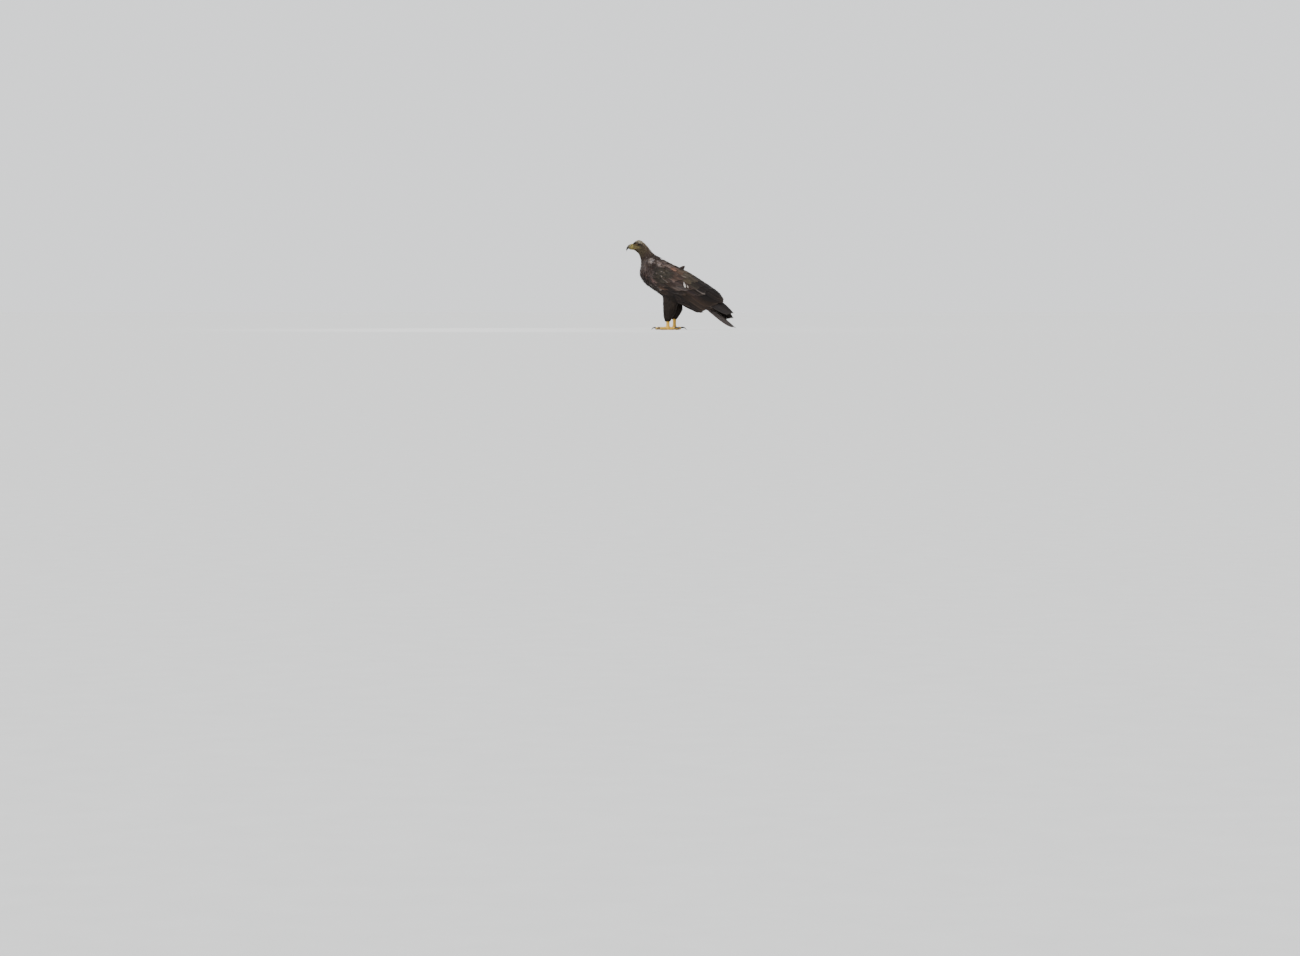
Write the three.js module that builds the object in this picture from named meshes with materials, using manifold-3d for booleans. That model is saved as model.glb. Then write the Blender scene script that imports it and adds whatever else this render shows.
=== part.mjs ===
// A life-size immature bald eagle (Haliaeetus leucocephalus), standing still with folded wings.
// Millimetres. +Z is up, the bird faces -Y, and its left side is +X.
// The body is modelled whole from a line of stations, then parted into head, neck and trunk by thin cuts.
import * as THREE from "three";
import { mergeVertices } from "three/addons/utils/BufferGeometryUtils.js";
import Module from "manifold-3d";

const wasm = await Module();
wasm.setup();

const GAP = 0.3; // between pieces that meet
const LEFT = 1;
const RIGHT = -1;

// ---------------------------------------------------------------- driving dimensions

// Stations of the body from the bill's base to the tail's base:
// back and belly are [y, z] on the outline of the coat, half is half the width there.
const BODY = [
  { name: "bill_base", back: [-226, 515], belly: [-219, 478], half: 15 },
  { name: "lores", back: [-216, 525], belly: [-207, 472], half: 20.5 },
  { name: "eye", back: [-202, 535], belly: [-198, 464], half: 27.5 },
  { name: "crown", back: [-185, 540], belly: [-190, 457], half: 32 },
  { name: "temple", back: [-167, 532], belly: [-185, 449], half: 35 },
  { name: "occiput", back: [-150, 518], belly: [-181, 439], half: 37 },
  { name: "nape", back: [-132, 499], belly: [-177, 425], half: 41 },
  { name: "neck", back: [-115, 478], belly: [-174, 405], half: 49 },
  { name: "neck_base", back: [-90, 453], belly: [-176, 381], half: 63 },
  { name: "shoulders", back: [-58, 435], belly: [-181, 357], half: 78 },
  { name: "chest", back: [-20, 416], belly: [-182, 326], half: 89 },
  { name: "breast", back: [20, 395], belly: [-167, 294], half: 95 },
  { name: "belly", back: [62, 368], belly: [-137, 265], half: 95 },
  { name: "flank", back: [104, 336], belly: [-96, 237], half: 90 },
  { name: "hip", back: [140, 301], belly: [-50, 206], half: 81 },
  { name: "vent", back: [170, 266], belly: [10, 176], half: 68 },
  { name: "rump", back: [194, 233], belly: [80, 150], half: 51 },
  { name: "tail_base", back: [214, 204], belly: [150, 133], half: 36 },
  { name: "under_tail", back: [236, 172], belly: [206, 124], half: 20 },
  { name: "coverts_end", back: [258, 140], belly: [250, 112], half: 6 },
];
const BODY_STEPS = 30;
const BODY_SIDES = 20;
// Cutting planes through [y, z], leaning forward by tilt degrees from level.
const HEAD_CUT = { y: -160, z: 475, tilt: 59 };
const NECK_CUT = { y: -140, z: 418, tilt: 44 };

// Upper bill: culmen and cutting edge [y, z], half width. It ends in the hook.
const UPPER_BILL = [
  { culmen: [-219, 516], edge: [-213, 490], half: 13.5 },
  { culmen: [-231, 515], edge: [-226, 488], half: 12.5 },
  { culmen: [-242, 512], edge: [-237, 487], half: 10.5 },
  { culmen: [-252, 505], edge: [-245, 486.5], half: 8 },
  { culmen: [-259.5, 495], edge: [-251, 484.5], half: 5.6 },
  { culmen: [-262.5, 484], edge: [-255.5, 480], half: 3.2 },
  { culmen: [-261.5, 472], edge: [-259.5, 472.5], half: 0.8 },
];
const LOWER_BILL = [
  { culmen: [-211, 489.5], edge: [-212, 477], half: 12.5 },
  { culmen: [-227, 487.5], edge: [-227, 479], half: 10.5 },
  { culmen: [-239, 486.5], edge: [-238, 480.5], half: 7.5 },
  { culmen: [-246, 485.5], edge: [-244, 482.5], half: 4 },
];

const EYE = { at: [22, -198, 511.5], radius: 9 };
const BROW = { at: [19, -200, 519.5], size: [8, 17, 5], pitch: -14, yaw: -14 };

// The folded arm of the wing: its upper and lower edges [y, z] in side view, from the wrist to the
// ends of the innermost feathers, with the half widths its outer face has at its upper edge
// (inner) and at its fullest (half).
const WING = [
  { upper: [-116, 394], lower: [-134, 346], inner: 58, half: 80 },
  { upper: [-92, 417], lower: [-136, 312], inner: 46, half: 96 },
  { upper: [-50, 422], lower: [-112, 272], inner: 36, half: 109 },
  { upper: [8, 398], lower: [-62, 230], inner: 28, half: 115 },
  { upper: [64, 371], lower: [2, 196], inner: 20, half: 113 },
  { upper: [122, 341], lower: [68, 164], inner: 12, half: 104 },
  { upper: [180, 304], lower: [130, 132], inner: 6, half: 88 },
  { upper: [236, 267], lower: [188, 103], inner: 4, half: 69 },
  { upper: [284, 233], lower: [232, 118], inner: 3.5, half: 54 },
  { upper: [310, 206], lower: [280, 144], inner: 6, half: 43 },
  { upper: [328, 178], lower: [314, 158], inner: 14, half: 31 },
];
const WING_FULLEST = 0.5; // where between the edges the wing is widest
const WING_HEM_TUCK = 0.2; // how far the lower edge tucks in
const WING_DEPTH = { front: 26, end: 4, hem: 2.5 };

// Outermost flight feathers past the folded arm: where each starts and ends [x, y, z] and its width.
const PRIMARIES = [
  { root: [30, 226, 226], tip: [13, 384, 102], width: 44 },
  { root: [31, 222, 212], tip: [15, 374, 98], width: 44 },
  { root: [32, 220, 199], tip: [18, 362, 98], width: 42 },
  { root: [33, 220, 188], tip: [22, 346, 98], width: 38 },
];
const PRIMARY_THICKNESS = 2.4;
const RIGHT_TIPS_DROP = 24; // how much lower the right wing's feather tips hang

// A small tuft of raised feathers on the left side of the back: middle and half sizes.
const TUFT = { at: [27, 79, 364], size: [13, 16, 13], pitch: -28 };

const TAIL = {
  root: [190, 190], // [y, z] of the middle of its base
  tip: [391, 13], // [y, z] of the end of its middle feathers
  halfAtRoot: 30,
  halfAtTip: 50,
  arch: 36, // how far the outer edges hang below the middle at the base
  archAtTip: 0.55, // the part of that left at the tip
  outerShort: 46, // how much shorter the outermost feathers are
  thickness: 3,
  feathers: 12,
};

// Feathered thighs, as level rings from hip to hem: z, middle y, half length along Y, half width.
const THIGH = [
  { z: 230, y: 20, long: 60, half: 38 },
  { z: 199, y: 12, long: 55, half: 42 },
  { z: 169, y: 5, long: 49, half: 41 },
  { z: 142, y: 1, long: 44, half: 38 },
  { z: 112, y: -4, long: 38, half: 34 },
  { z: 86, y: -9, long: 31, half: 28 },
  { z: 66, y: -13, long: 23, half: 21 },
  { z: 54, y: -14, long: 16, half: 15 },
];
const RIGHT_HEM_RISE = 14; // how much higher the right thigh's feathers end
const LEG_APART = 54; // from the middle plane to the middle of each leg
const LEG_STEP = { [LEFT]: 0, [RIGHT]: 40 }; // how far each leg stands back
const LEG_SWING = { top: 230, bottom: 120 }; // heights between which that step grows
const TARSUS = { y: -13, top: 84, foot: 15, radius: 10.5, ankle: 14.5 };

// Toes: heading from straight ahead in degrees, outwards positive; length, claw chord, radius.
const TOES = [
  { name: "inner", heading: -27, length: 52, claw: 34, radius: 9.2 },
  { name: "middle", heading: 2, length: 70, claw: 30, radius: 9 },
  { name: "outer", heading: 36, length: 58, claw: 26, radius: 8.2 },
  { name: "hind", heading: 184, length: 36, claw: 38, radius: 9.4 },
];
const SOLE_PRESS = 0.7; // how far toe pads and claw tips are pressed flat

// ---------------------------------------------------------------- solids and cuts

const vector = (x, y, z) => new THREE.Vector3(x, y, z);
const radians = THREE.MathUtils.degToRad;

// A smooth curve through rows of up to three numbers, as a function of 0 to 1.
function spline(rows) {
  const points = rows.map(([a, b = 0, c = 0]) => vector(a, b, c));
  const curve = new THREE.CatmullRomCurve3(points, false, "catmullrom", 0.5);
  return (t) => curve.getPoint(t);
}

function geometryFrom(points, faces) {
  const geometry = new THREE.BufferGeometry();
  const places = new Float32Array(points.flatMap((p) => p.toArray()));
  geometry.setAttribute("position", new THREE.BufferAttribute(places, 3));
  geometry.setIndex(faces);
  return geometry;
}

// The solid of a closed geometry, whichever way its faces were wound.
function solid(geometry) {
  const bare = geometry.clone();
  bare.deleteAttribute("normal");
  bare.deleteAttribute("uv");
  const merged = mergeVertices(bare, 1e-4);
  const corners = Array.from(merged.index.array);
  const made = (triangles) =>
    new wasm.Manifold(
      new wasm.Mesh({
        numProp: 3,
        vertProperties: merged.attributes.position.array,
        triVerts: new Uint32Array(triangles),
      }),
    );
  const first = made(corners);
  return first.volume() > 0 ? first : made(corners.reverse());
}

function meshGeometry(made) {
  const mesh = made.getMesh();
  const geometry = new THREE.BufferGeometry();
  geometry.setAttribute("position", new THREE.BufferAttribute(mesh.vertProperties, 3));
  geometry.setIndex(new THREE.BufferAttribute(mesh.triVerts, 1));
  return geometry;
}

const union = (parts) => parts.reduce((all, one) => all.add(one));
const largest = (made) => made.decompose().sort((a, b) => b.volume() - a.volume())[0];

const middleOf = (points) =>
  points.reduce((sum, p) => sum.add(p), vector(0, 0, 0)).divideScalar(points.length);

// A closed loft through rings of equally many points.
function loft(rings) {
  const count = rings[0].length;
  const points = rings.flat();
  const faces = [];
  for (let i = 0; i + 1 < rings.length; i++)
    for (let j = 0; j < count; j++) {
      const a = i * count + j;
      const b = i * count + ((j + 1) % count);
      faces.push(a, b, b + count, a, b + count, a + count);
    }
  const last = (rings.length - 1) * count;
  const start = points.push(middleOf(rings[0])) - 1;
  const end = points.push(middleOf(rings.at(-1))) - 1;
  for (let j = 0; j < count; j++) {
    const next = (j + 1) % count;
    faces.push(start, next, j);
    faces.push(end, last + j, last + next);
  }
  return solid(geometryFrom(points, faces));
}

// A superellipse about centre, with half axes side and up.
function ring(centre, side, up, count, squareness = 2) {
  const power = 2 / squareness;
  return Array.from({ length: count }, (_, j) => {
    const angle = (2 * Math.PI * j) / count;
    const c = Math.cos(angle);
    const s = Math.sin(angle);
    return centre
      .clone()
      .addScaledVector(side, Math.sign(c) * Math.abs(c) ** power)
      .addScaledVector(up, Math.sign(s) * Math.abs(s) ** power);
  });
}

// A loft on the middle plane, whose rings span from a top line to a bottom line.
function outlineLoft(rows, steps, count, squareness, grow) {
  const top = spline(rows.map((row) => row.top));
  const bottom = spline(rows.map((row) => row.bottom));
  const half = spline(rows.map((row) => [row.half]));
  return loft(
    Array.from({ length: steps + 1 }, (_, i) => {
      const t = i / steps;
      const a = top(t);
      const b = bottom(t);
      const centre = vector(0, (a.x + b.x) / 2, (a.y + b.y) / 2);
      const up = vector(0, (a.x - b.x) / 2, (a.y - b.y) / 2);
      up.setLength(up.length() + grow);
      return ring(centre, vector(half(t).x + grow, 0, 0), up, count, squareness);
    }),
  );
}

// A tapering tube along points, with a radius at each; broad and tall stretch its rings.
function tube(points, radii, steps, count, grow, { broad = 1, tall = 1 } = {}) {
  const path = new THREE.CatmullRomCurve3(points, false, "catmullrom", 0.5);
  const radius = spline(radii.map((r) => [r]));
  return loft(
    Array.from({ length: steps + 1 }, (_, i) => {
      const t = i / steps;
      const along = path.getTangent(t);
      const guide = Math.abs(along.z) > 0.85 ? vector(0, 1, 0) : vector(0, 0, 1);
      const side = along.clone().cross(guide).normalize();
      const up = side.clone().cross(along).normalize();
      const r = radius(t).x;
      return ring(
        path.getPoint(t),
        side.multiplyScalar(r * broad + grow),
        up.multiplyScalar(r * tall + grow),
        count,
      );
    }),
  );
}

// A closed sheet behind a face: face(u, v) is a point of it, depth(u, v) how thick it is there.
function sheet(face, depth, columns, rows, grow) {
  const step = 1e-3;
  const slope = (f, t) => f(Math.min(1, t + step)).sub(f(Math.max(0, t - step)));
  const outwards = (t) => (t === 1) - (t === 0);
  const layer = (offset) =>
    Array.from({ length: (columns + 1) * (rows + 1) }, (_, k) => {
      const u = Math.floor(k / (rows + 1)) / columns;
      const v = (k % (rows + 1)) / rows;
      const along = slope((t) => face(t, v), u).normalize();
      const across = slope((t) => face(u, t), v).normalize();
      return face(u, v)
        .addScaledVector(across.clone().cross(along).normalize(), offset(u, v))
        .addScaledVector(along, grow * outwards(u))
        .addScaledVector(across, grow * outwards(v));
    });
  const outer = layer(() => grow);
  const inner = layer((u, v) => -depth(u, v) - grow);
  const outerAt = (i, j) => i * (rows + 1) + j;
  const innerAt = (i, j) => outer.length + outerAt(i, j);
  const faces = [];
  const quad = (a, b, c, d) => faces.push(a, b, c, a, c, d);
  for (let i = 0; i < columns; i++)
    for (let j = 0; j < rows; j++) {
      quad(outerAt(i, j), outerAt(i + 1, j), outerAt(i + 1, j + 1), outerAt(i, j + 1));
      quad(innerAt(i, j), innerAt(i, j + 1), innerAt(i + 1, j + 1), innerAt(i + 1, j));
    }
  for (let i = 0; i < columns; i++) {
    quad(outerAt(i + 1, 0), outerAt(i, 0), innerAt(i, 0), innerAt(i + 1, 0));
    quad(outerAt(i, rows), outerAt(i + 1, rows), innerAt(i + 1, rows), innerAt(i, rows));
  }
  for (let j = 0; j < rows; j++) {
    quad(outerAt(0, j), outerAt(0, j + 1), innerAt(0, j + 1), innerAt(0, j));
    quad(outerAt(columns, j + 1), outerAt(columns, j), innerAt(columns, j), innerAt(columns, j + 1));
  }
  return solid(geometryFrom([...outer, ...inner], faces));
}

// Half of space: the part above (side 1) or below (side -1) a plane through [y, z].
function halfSpace({ y, z, tilt }, side) {
  const reach = 1500;
  const box = new THREE.BoxGeometry(reach, reach, reach);
  box.translate(0, 0, side * (reach / 2 + GAP / 2));
  box.rotateX(radians(tilt));
  box.translate(0, y, z);
  return solid(box);
}

const aboveFloor = halfSpace({ y: 0, z: -GAP / 2, tilt: 0 }, 1);

// ---------------------------------------------------------------- body and bill

const bodyRows = BODY.map(({ back, belly, half }) => ({ top: back, bottom: belly, half }));
const bodyLoft = (grow) => outlineLoft(bodyRows, BODY_STEPS, BODY_SIDES, 2.15, grow);

const billRows = (rows) => rows.map(({ culmen, edge, half }) => ({ top: culmen, bottom: edge, half }));
const upperBill = (grow) => outlineLoft(billRows(UPPER_BILL), 10, 12, 1.9, grow);
const lowerBill = (grow) => outlineLoft(billRows(LOWER_BILL), 5, 12, 1.9, grow);

function eye(side, grow) {
  const ball = new THREE.SphereGeometry(EYE.radius + grow, 12, 8);
  ball.translate(side * EYE.at[0], EYE.at[1], EYE.at[2]);
  return solid(ball);
}

function lump({ at, size, pitch = 0, yaw = 0 }, side) {
  const ball = new THREE.SphereGeometry(1, 9, 6);
  ball.scale(...size);
  ball.rotateX(radians(pitch));
  ball.rotateZ(radians(side * yaw));
  ball.translate(side * at[0], at[1], at[2]);
  return solid(ball);
}

// ---------------------------------------------------------------- wings and tail

const wingUpper = spline(WING.map((row) => row.upper));
const wingLower = spline(WING.map((row) => row.lower));
const wingWidth = spline(WING.map((row) => [row.inner, row.half]));

function wingFace(u, v) {
  const a = wingUpper(u);
  const b = wingLower(u);
  const { x: inner, y: half } = wingWidth(u);
  const rise = Math.min(1, v / WING_FULLEST);
  const fall = Math.max(0, (v - WING_FULLEST) / (1 - WING_FULLEST));
  const arch = Math.sqrt(1 - (1 - rise) ** 2);
  const x = (inner + (half - inner) * arch) * (1 - WING_HEM_TUCK * fall * fall);
  return vector(x, a.x + (b.x - a.x) * v, a.y + (b.y - a.y) * v);
}

function wingDepth(u, v) {
  const { front, end, hem } = WING_DEPTH;
  const back = THREE.MathUtils.smoothstep(u, 0.35, 0.9);
  const middle = front + (end - front) * back;
  const round = Math.sin(Math.PI * Math.min(1, v * 0.92 + 0.05)) ** 0.6;
  const nose = Math.min(1, 0.25 + 6 * u);
  return hem + (middle - hem) * round * nose;
}

const onSide = (made, side) => (side === LEFT ? made : made.mirror([1, 0, 0]));
const wing = (side, grow) => onSide(sheet(wingFace, wingDepth, 16, 8, grow), side);

// One long feather, standing on its edge and rounded at its tip.
function primary(side, { root, tip, width }) {
  const drop = side === RIGHT ? RIGHT_TIPS_DROP : 0;
  const from = vector(...root);
  const along = vector(tip[0], tip[1], tip[2] - drop).sub(from);
  const edge = along.clone().cross(vector(1, 0, 0)).normalize();
  const steps = 5;
  return loft(
    Array.from({ length: steps + 1 }, (_, i) => {
      const t = i / steps;
      const taper = Math.sqrt(Math.max(0.01, 1 - Math.max(0, (t - 0.4) / 0.61) ** 2));
      const centre = from.clone().addScaledVector(along, t);
      const thick = vector(PRIMARY_THICKNESS / 2, 0, 0);
      return ring(centre, thick, edge.clone().multiplyScalar((width / 2) * taper), 6);
    }),
  );
}

const primaries = (side) => onSide(union(PRIMARIES.map((row) => primary(side, row))), side);

// The tail is a shallow arch across, v from its left edge to its right; its end is scalloped.
function tailFace(u, v) {
  const { root, tip, halfAtRoot, halfAtTip, arch, archAtTip, outerShort, feathers } = TAIL;
  const across = 2 * v - 1;
  const length = Math.hypot(tip[0] - root[0], tip[1] - root[1]);
  const slope = vector(0, (tip[0] - root[0]) / length, (tip[1] - root[1]) / length);
  const down = vector(0, slope.z, -slope.y);
  const scallop = 5 * (1 - Math.abs(Math.sin(Math.PI * (feathers / 2) * v))) * u ** 8;
  const reach = u * (length - outerShort * across * across) - scallop;
  const half = halfAtRoot + (halfAtTip - halfAtRoot) * Math.sin((Math.PI / 2) * u);
  const hang = arch * across * across * (1 + (archAtTip - 1) * u);
  return vector(half * across, root[0], root[1])
    .addScaledVector(slope, reach)
    .addScaledVector(down, hang);
}

const tail = (grow) => sheet(tailFace, () => TAIL.thickness, 6, 12, grow);

// ---------------------------------------------------------------- legs and feet

function thigh(side) {
  const { top, bottom } = LEG_SWING;
  const stepAt = (z) => LEG_STEP[side] * THREE.MathUtils.clamp((top - z) / (top - bottom), 0, 1);
  const lift = (z) => (side === RIGHT ? RIGHT_HEM_RISE * THREE.MathUtils.smoothstep(-z, -150, -54) : 0);
  const middle = spline(THIGH.map((row) => [row.y + stepAt(row.z), row.z + lift(row.z)]));
  const size = spline(THIGH.map((row) => [row.long, row.half]));
  const steps = 8;
  return loft(
    Array.from({ length: steps + 1 }, (_, i) => {
      const { x: y, y: z } = middle(i / steps);
      const { x: long, y: half } = size(i / steps);
      return ring(vector(side * LEG_APART, y, z), vector(half, 0, 0), vector(0, long, 0), 14);
    }),
  );
}

const legPoint = (side, x, y, z) => vector(side * (LEG_APART + x), TARSUS.y + LEG_STEP[side] + y, z);

function tarsus(side, grow) {
  const { top, foot, radius, ankle } = TARSUS;
  const heights = [top, 0.6 * top, 0.35 * top, foot, 1.5];
  const points = heights.map((z) => legPoint(side, 0, 0, z));
  return tube(points, [radius + 1, radius, radius, ankle, ankle - 1.5], 6, 10, grow);
}

// A point at a distance along a toe's heading, at height z.
function toePoint(side, { heading }, along, z) {
  const turn = radians(heading);
  return legPoint(side, Math.sin(turn) * along, -Math.cos(turn) * along, z);
}

function toe(side, row, grow) {
  const { length, radius: r } = row;
  const path = [
    [4, r + 3],
    [length * 0.28, r - SOLE_PRESS],
    [length * 0.52, r - SOLE_PRESS],
    [length * 0.76, r + 1],
    [length, r - 1.5],
  ];
  const points = path.map(([along, z]) => toePoint(side, row, along, z));
  const radii = [1.05, 1, 1, 0.88, 0.8].map((part) => part * r);
  return tube(points, radii, 6, 8, grow).intersect(aboveFloor);
}

function claw(side, row, grow) {
  const { length, claw: chord, radius: r } = row;
  const path = [
    [length - 4, r],
    [length + chord * 0.3, r * 1.55],
    [length + chord * 0.7, r * 1.2],
    [length + chord, 0.6],
  ];
  const points = path.map(([along, z]) => toePoint(side, row, along, z));
  return tube(points, [5.4, 5, 3.2, 0.8], 5, 6, grow, { broad: 0.75 }).intersect(aboveFloor);
}

// ---------------------------------------------------------------- parting and naming

const LOOKS = {
  plumage: { color: 0x3a2c24, roughness: 0.8 },
  crown: { color: 0x6d6250, roughness: 0.85 },
  flight: { color: 0x1f1a18, roughness: 0.6 },
  tail: { color: 0x4a4744, roughness: 0.65 },
  bill: { color: 0x9a9358, roughness: 0.45 },
  eye: { color: 0x5a3c14, roughness: 0.08 },
  foot: { color: 0xb48a1e, roughness: 0.6 },
  claw: { color: 0x151416, roughness: 0.35 },
};

const bird = new THREE.Group();

function node(name, made, look) {
  const material = new THREE.MeshStandardMaterial({ ...LOOKS[look], metalness: 0 });
  const mesh = new THREE.Mesh(meshGeometry(largest(made)), material);
  mesh.name = name;
  bird.add(mesh);
}

const both = (make) => union([make(LEFT), make(RIGHT)]);
const wingRoom = both((side) => wing(side, GAP));
const bodyRoom = bodyLoft(GAP);

const body = union([bodyLoft(0), lump(BROW, LEFT), lump(BROW, RIGHT)])
  .subtract(union([upperBill(GAP), lowerBill(GAP)]))
  .subtract(both((side) => eye(side, GAP)))
  .subtract(wingRoom);

node("head", body.intersect(halfSpace(HEAD_CUT, 1)), "crown");
node("neck", body.intersect(halfSpace(HEAD_CUT, -1)).intersect(halfSpace(NECK_CUT, 1)), "plumage");
node("trunk", body.intersect(halfSpace(NECK_CUT, -1)), "plumage");
node("bill_upper", upperBill(0), "bill");
node("bill_lower", lowerBill(0).subtract(upperBill(GAP)), "bill");
node("tuft", lump(TUFT, LEFT).subtract(wingRoom).subtract(bodyRoom), "plumage");
node("tail", tail(0).subtract(bodyRoom).subtract(wingRoom), "tail");

for (const [label, side] of Object.entries({ left: LEFT, right: RIGHT })) {
  node(`eye_${label}`, eye(side, 0), "eye");
  node(`wing_${label}`, wing(side, 0), "plumage");
  const blades = primaries(side).subtract(wingRoom).subtract(bodyRoom).subtract(tail(GAP));
  node(`primaries_${label}`, blades, "flight");
  const leg = thigh(side).subtract(bodyRoom).subtract(wingRoom).subtract(tarsus(side, GAP));
  node(`thigh_${label}`, leg, "plumage");
  node(`tarsus_${label}`, tarsus(side, 0).intersect(aboveFloor), "foot");
  let taken = tarsus(side, GAP);
  for (const row of TOES) {
    node(`toe_${label}_${row.name}`, toe(side, row, 0).subtract(taken), "foot");
    node(`claw_${label}_${row.name}`, claw(side, row, 0).subtract(toe(side, row, GAP)), "claw");
    taken = taken.add(toe(side, row, GAP));
  }
}

// The origin is on the floor, under the middle of the whole bird.
const bounds = new THREE.Box3().setFromObject(bird);
const middle = bounds.getCenter(vector(0, 0, 0));
bird.position.set(-middle.x, -middle.y, -bounds.min.z);
bird.updateMatrixWorld(true);

export default bird;
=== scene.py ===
"""The looks of a life-size immature bald eagle: skin, feathers, bill, eyes, feet, floor, lights and camera.

Shapes are worked out in millimetres in the frame the solids were drawn in: +Z up, the bird faces -Y,
its left side is +X, and the floor is at 0. to_frame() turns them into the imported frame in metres.
"""

import math
from functools import reduce

import bpy
import numpy as np
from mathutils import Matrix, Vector
from mathutils.bvhtree import BVHTree
from mathutils.kdtree import KDTree


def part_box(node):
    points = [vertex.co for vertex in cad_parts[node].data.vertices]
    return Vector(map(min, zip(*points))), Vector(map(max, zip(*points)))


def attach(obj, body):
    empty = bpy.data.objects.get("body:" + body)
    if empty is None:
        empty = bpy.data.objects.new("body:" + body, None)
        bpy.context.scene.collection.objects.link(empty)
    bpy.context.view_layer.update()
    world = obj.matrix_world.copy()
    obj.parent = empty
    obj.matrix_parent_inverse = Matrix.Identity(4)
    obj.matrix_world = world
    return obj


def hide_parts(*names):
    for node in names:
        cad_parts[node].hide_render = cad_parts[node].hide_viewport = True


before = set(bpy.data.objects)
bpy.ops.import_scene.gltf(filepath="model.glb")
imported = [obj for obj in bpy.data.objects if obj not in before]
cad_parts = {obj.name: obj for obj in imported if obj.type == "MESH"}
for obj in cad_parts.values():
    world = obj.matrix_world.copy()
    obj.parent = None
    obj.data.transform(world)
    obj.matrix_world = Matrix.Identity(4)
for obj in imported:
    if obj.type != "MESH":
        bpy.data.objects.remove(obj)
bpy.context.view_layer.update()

LEFT, RIGHT = 1, -1
SIDES = {"left": LEFT, "right": RIGHT}
BILL_TIP_Y = -262.39
MIDDLE_Y = BILL_TIP_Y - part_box("bill_upper")[0].y * 1000
random = np.random.default_rng(11)

# ---------------------------------------------------------------- sizes

# Stations of the body from the bill's base to under the tail: the back's y and z, the belly's y and z,
# half the width there.
BODY = np.array([
    (-226, 515, -219, 478, 15),
    (-216, 525, -207, 472, 20.5),
    (-202, 535, -198, 464, 27.5),
    (-185, 540, -190, 457, 32),
    (-167, 532, -185, 449, 35),
    (-150, 518, -181, 439, 37),
    (-132, 499, -177, 425, 41),
    (-115, 478, -174, 405, 49),
    (-90, 453, -176, 381, 63),
    (-58, 435, -181, 357, 78),
    (-20, 416, -182, 326, 89),
    (20, 395, -167, 294, 95),
    (62, 368, -137, 265, 95),
    (104, 336, -96, 237, 90),
    (140, 301, -50, 206, 81),
    (170, 266, 10, 176, 68),
    (194, 233, 80, 150, 51),
    (214, 204, 150, 133, 36),
    (236, 172, 206, 124, 20),
    (258, 140, 250, 112, 6),
])
BODY_SQUARENESS = 2.15

# The coat at some of those stations: station, depth, distance between feathers, a feather's length and
# half width over that distance, and how pointed it is from 0 to 1.
COAT = np.array([
    (0, 0.9, 1.35, 3.3, 0.50, 0.7),
    (2, 2.0, 1.6, 3.7, 0.46, 0.9),
    (4, 3.6, 2.1, 4.4, 0.42, 1.0),
    (6, 6.0, 3.1, 4.9, 0.39, 1.0),
    (7.5, 8.0, 4.5, 4.5, 0.42, 1.0),
    (9, 10.0, 6.2, 4.0, 0.50, 0.8),
    (11, 11.0, 7.6, 3.6, 0.60, 0.5),
    (14, 10.0, 8.6, 3.5, 0.66, 0.3),
    (17, 6.5, 8.8, 3.8, 0.66, 0.2),
    (19, 2.0, 7.0, 4.0, 0.66, 0.2),
])

# Stations of the folded arm of the wing: upper edge's y and z, lower edge's y and z, half widths of
# its outer face at its upper edge and at its fullest.
WING = np.array([
    (-116, 394, -134, 346, 58, 80),
    (-92, 417, -136, 312, 46, 96),
    (-50, 422, -112, 272, 36, 109),
    (8, 398, -62, 230, 28, 115),
    (64, 371, 2, 196, 20, 113),
    (122, 341, 68, 164, 12, 104),
    (180, 304, 130, 132, 6, 88),
    (236, 267, 188, 103, 4, 69),
    (284, 233, 232, 118, 3.5, 54),
    (310, 206, 280, 144, 6, 43),
    (328, 178, 314, 158, 14, 31),
])
RIDGE_HALF, RIDGE_FALL = 16.0, 0.8
ARM_END = 0.74  # how far along it the skin reaches; past it there are only feathers
WING_HEM_TUCK = 0.2  # how far the hem turns in under the wing, over the half width
WING_COAT = (6.5, 9.5)  # depth over the small coverts and over the long feathers

THIGH = np.array([  # level rings: z, middle y, half length along Y, half width
    (230, 20, 60, 38),
    (199, 12, 55, 42),
    (169, 5, 49, 41),
    (142, 1, 44, 38),
    (112, -4, 38, 34),
    (86, -9, 31, 28),
    (66, -13, 23, 21),
    (54, -14, 16, 15),
])
THIGH_DEPTH = 7.0
RIGHT_HEM_RISE = 14.0
LEG_APART = 54.0
LEG_STEP = {LEFT: 0.0, RIGHT: 40.0}
LEG_SWING = (230.0, 120.0)  # heights between which a leg moves back to its place
TARSUS = {"y": -13, "top": 84, "foot": 15, "radius": 10.5, "ankle": 14.5}
SOLE_PRESS = 0.7  # how far the pads are flattened by the floor

# name, heading from straight ahead in degrees outwards, length, claw chord, radius, pads
TOES = (
    ("inner", -27, 52, 34, 9.2, 2),
    ("middle", 2, 70, 30, 9.0, 3),
    ("outer", 36, 58, 26, 8.2, 3),
    ("hind", 184, 36, 38, 9.4, 1),
)

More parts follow.
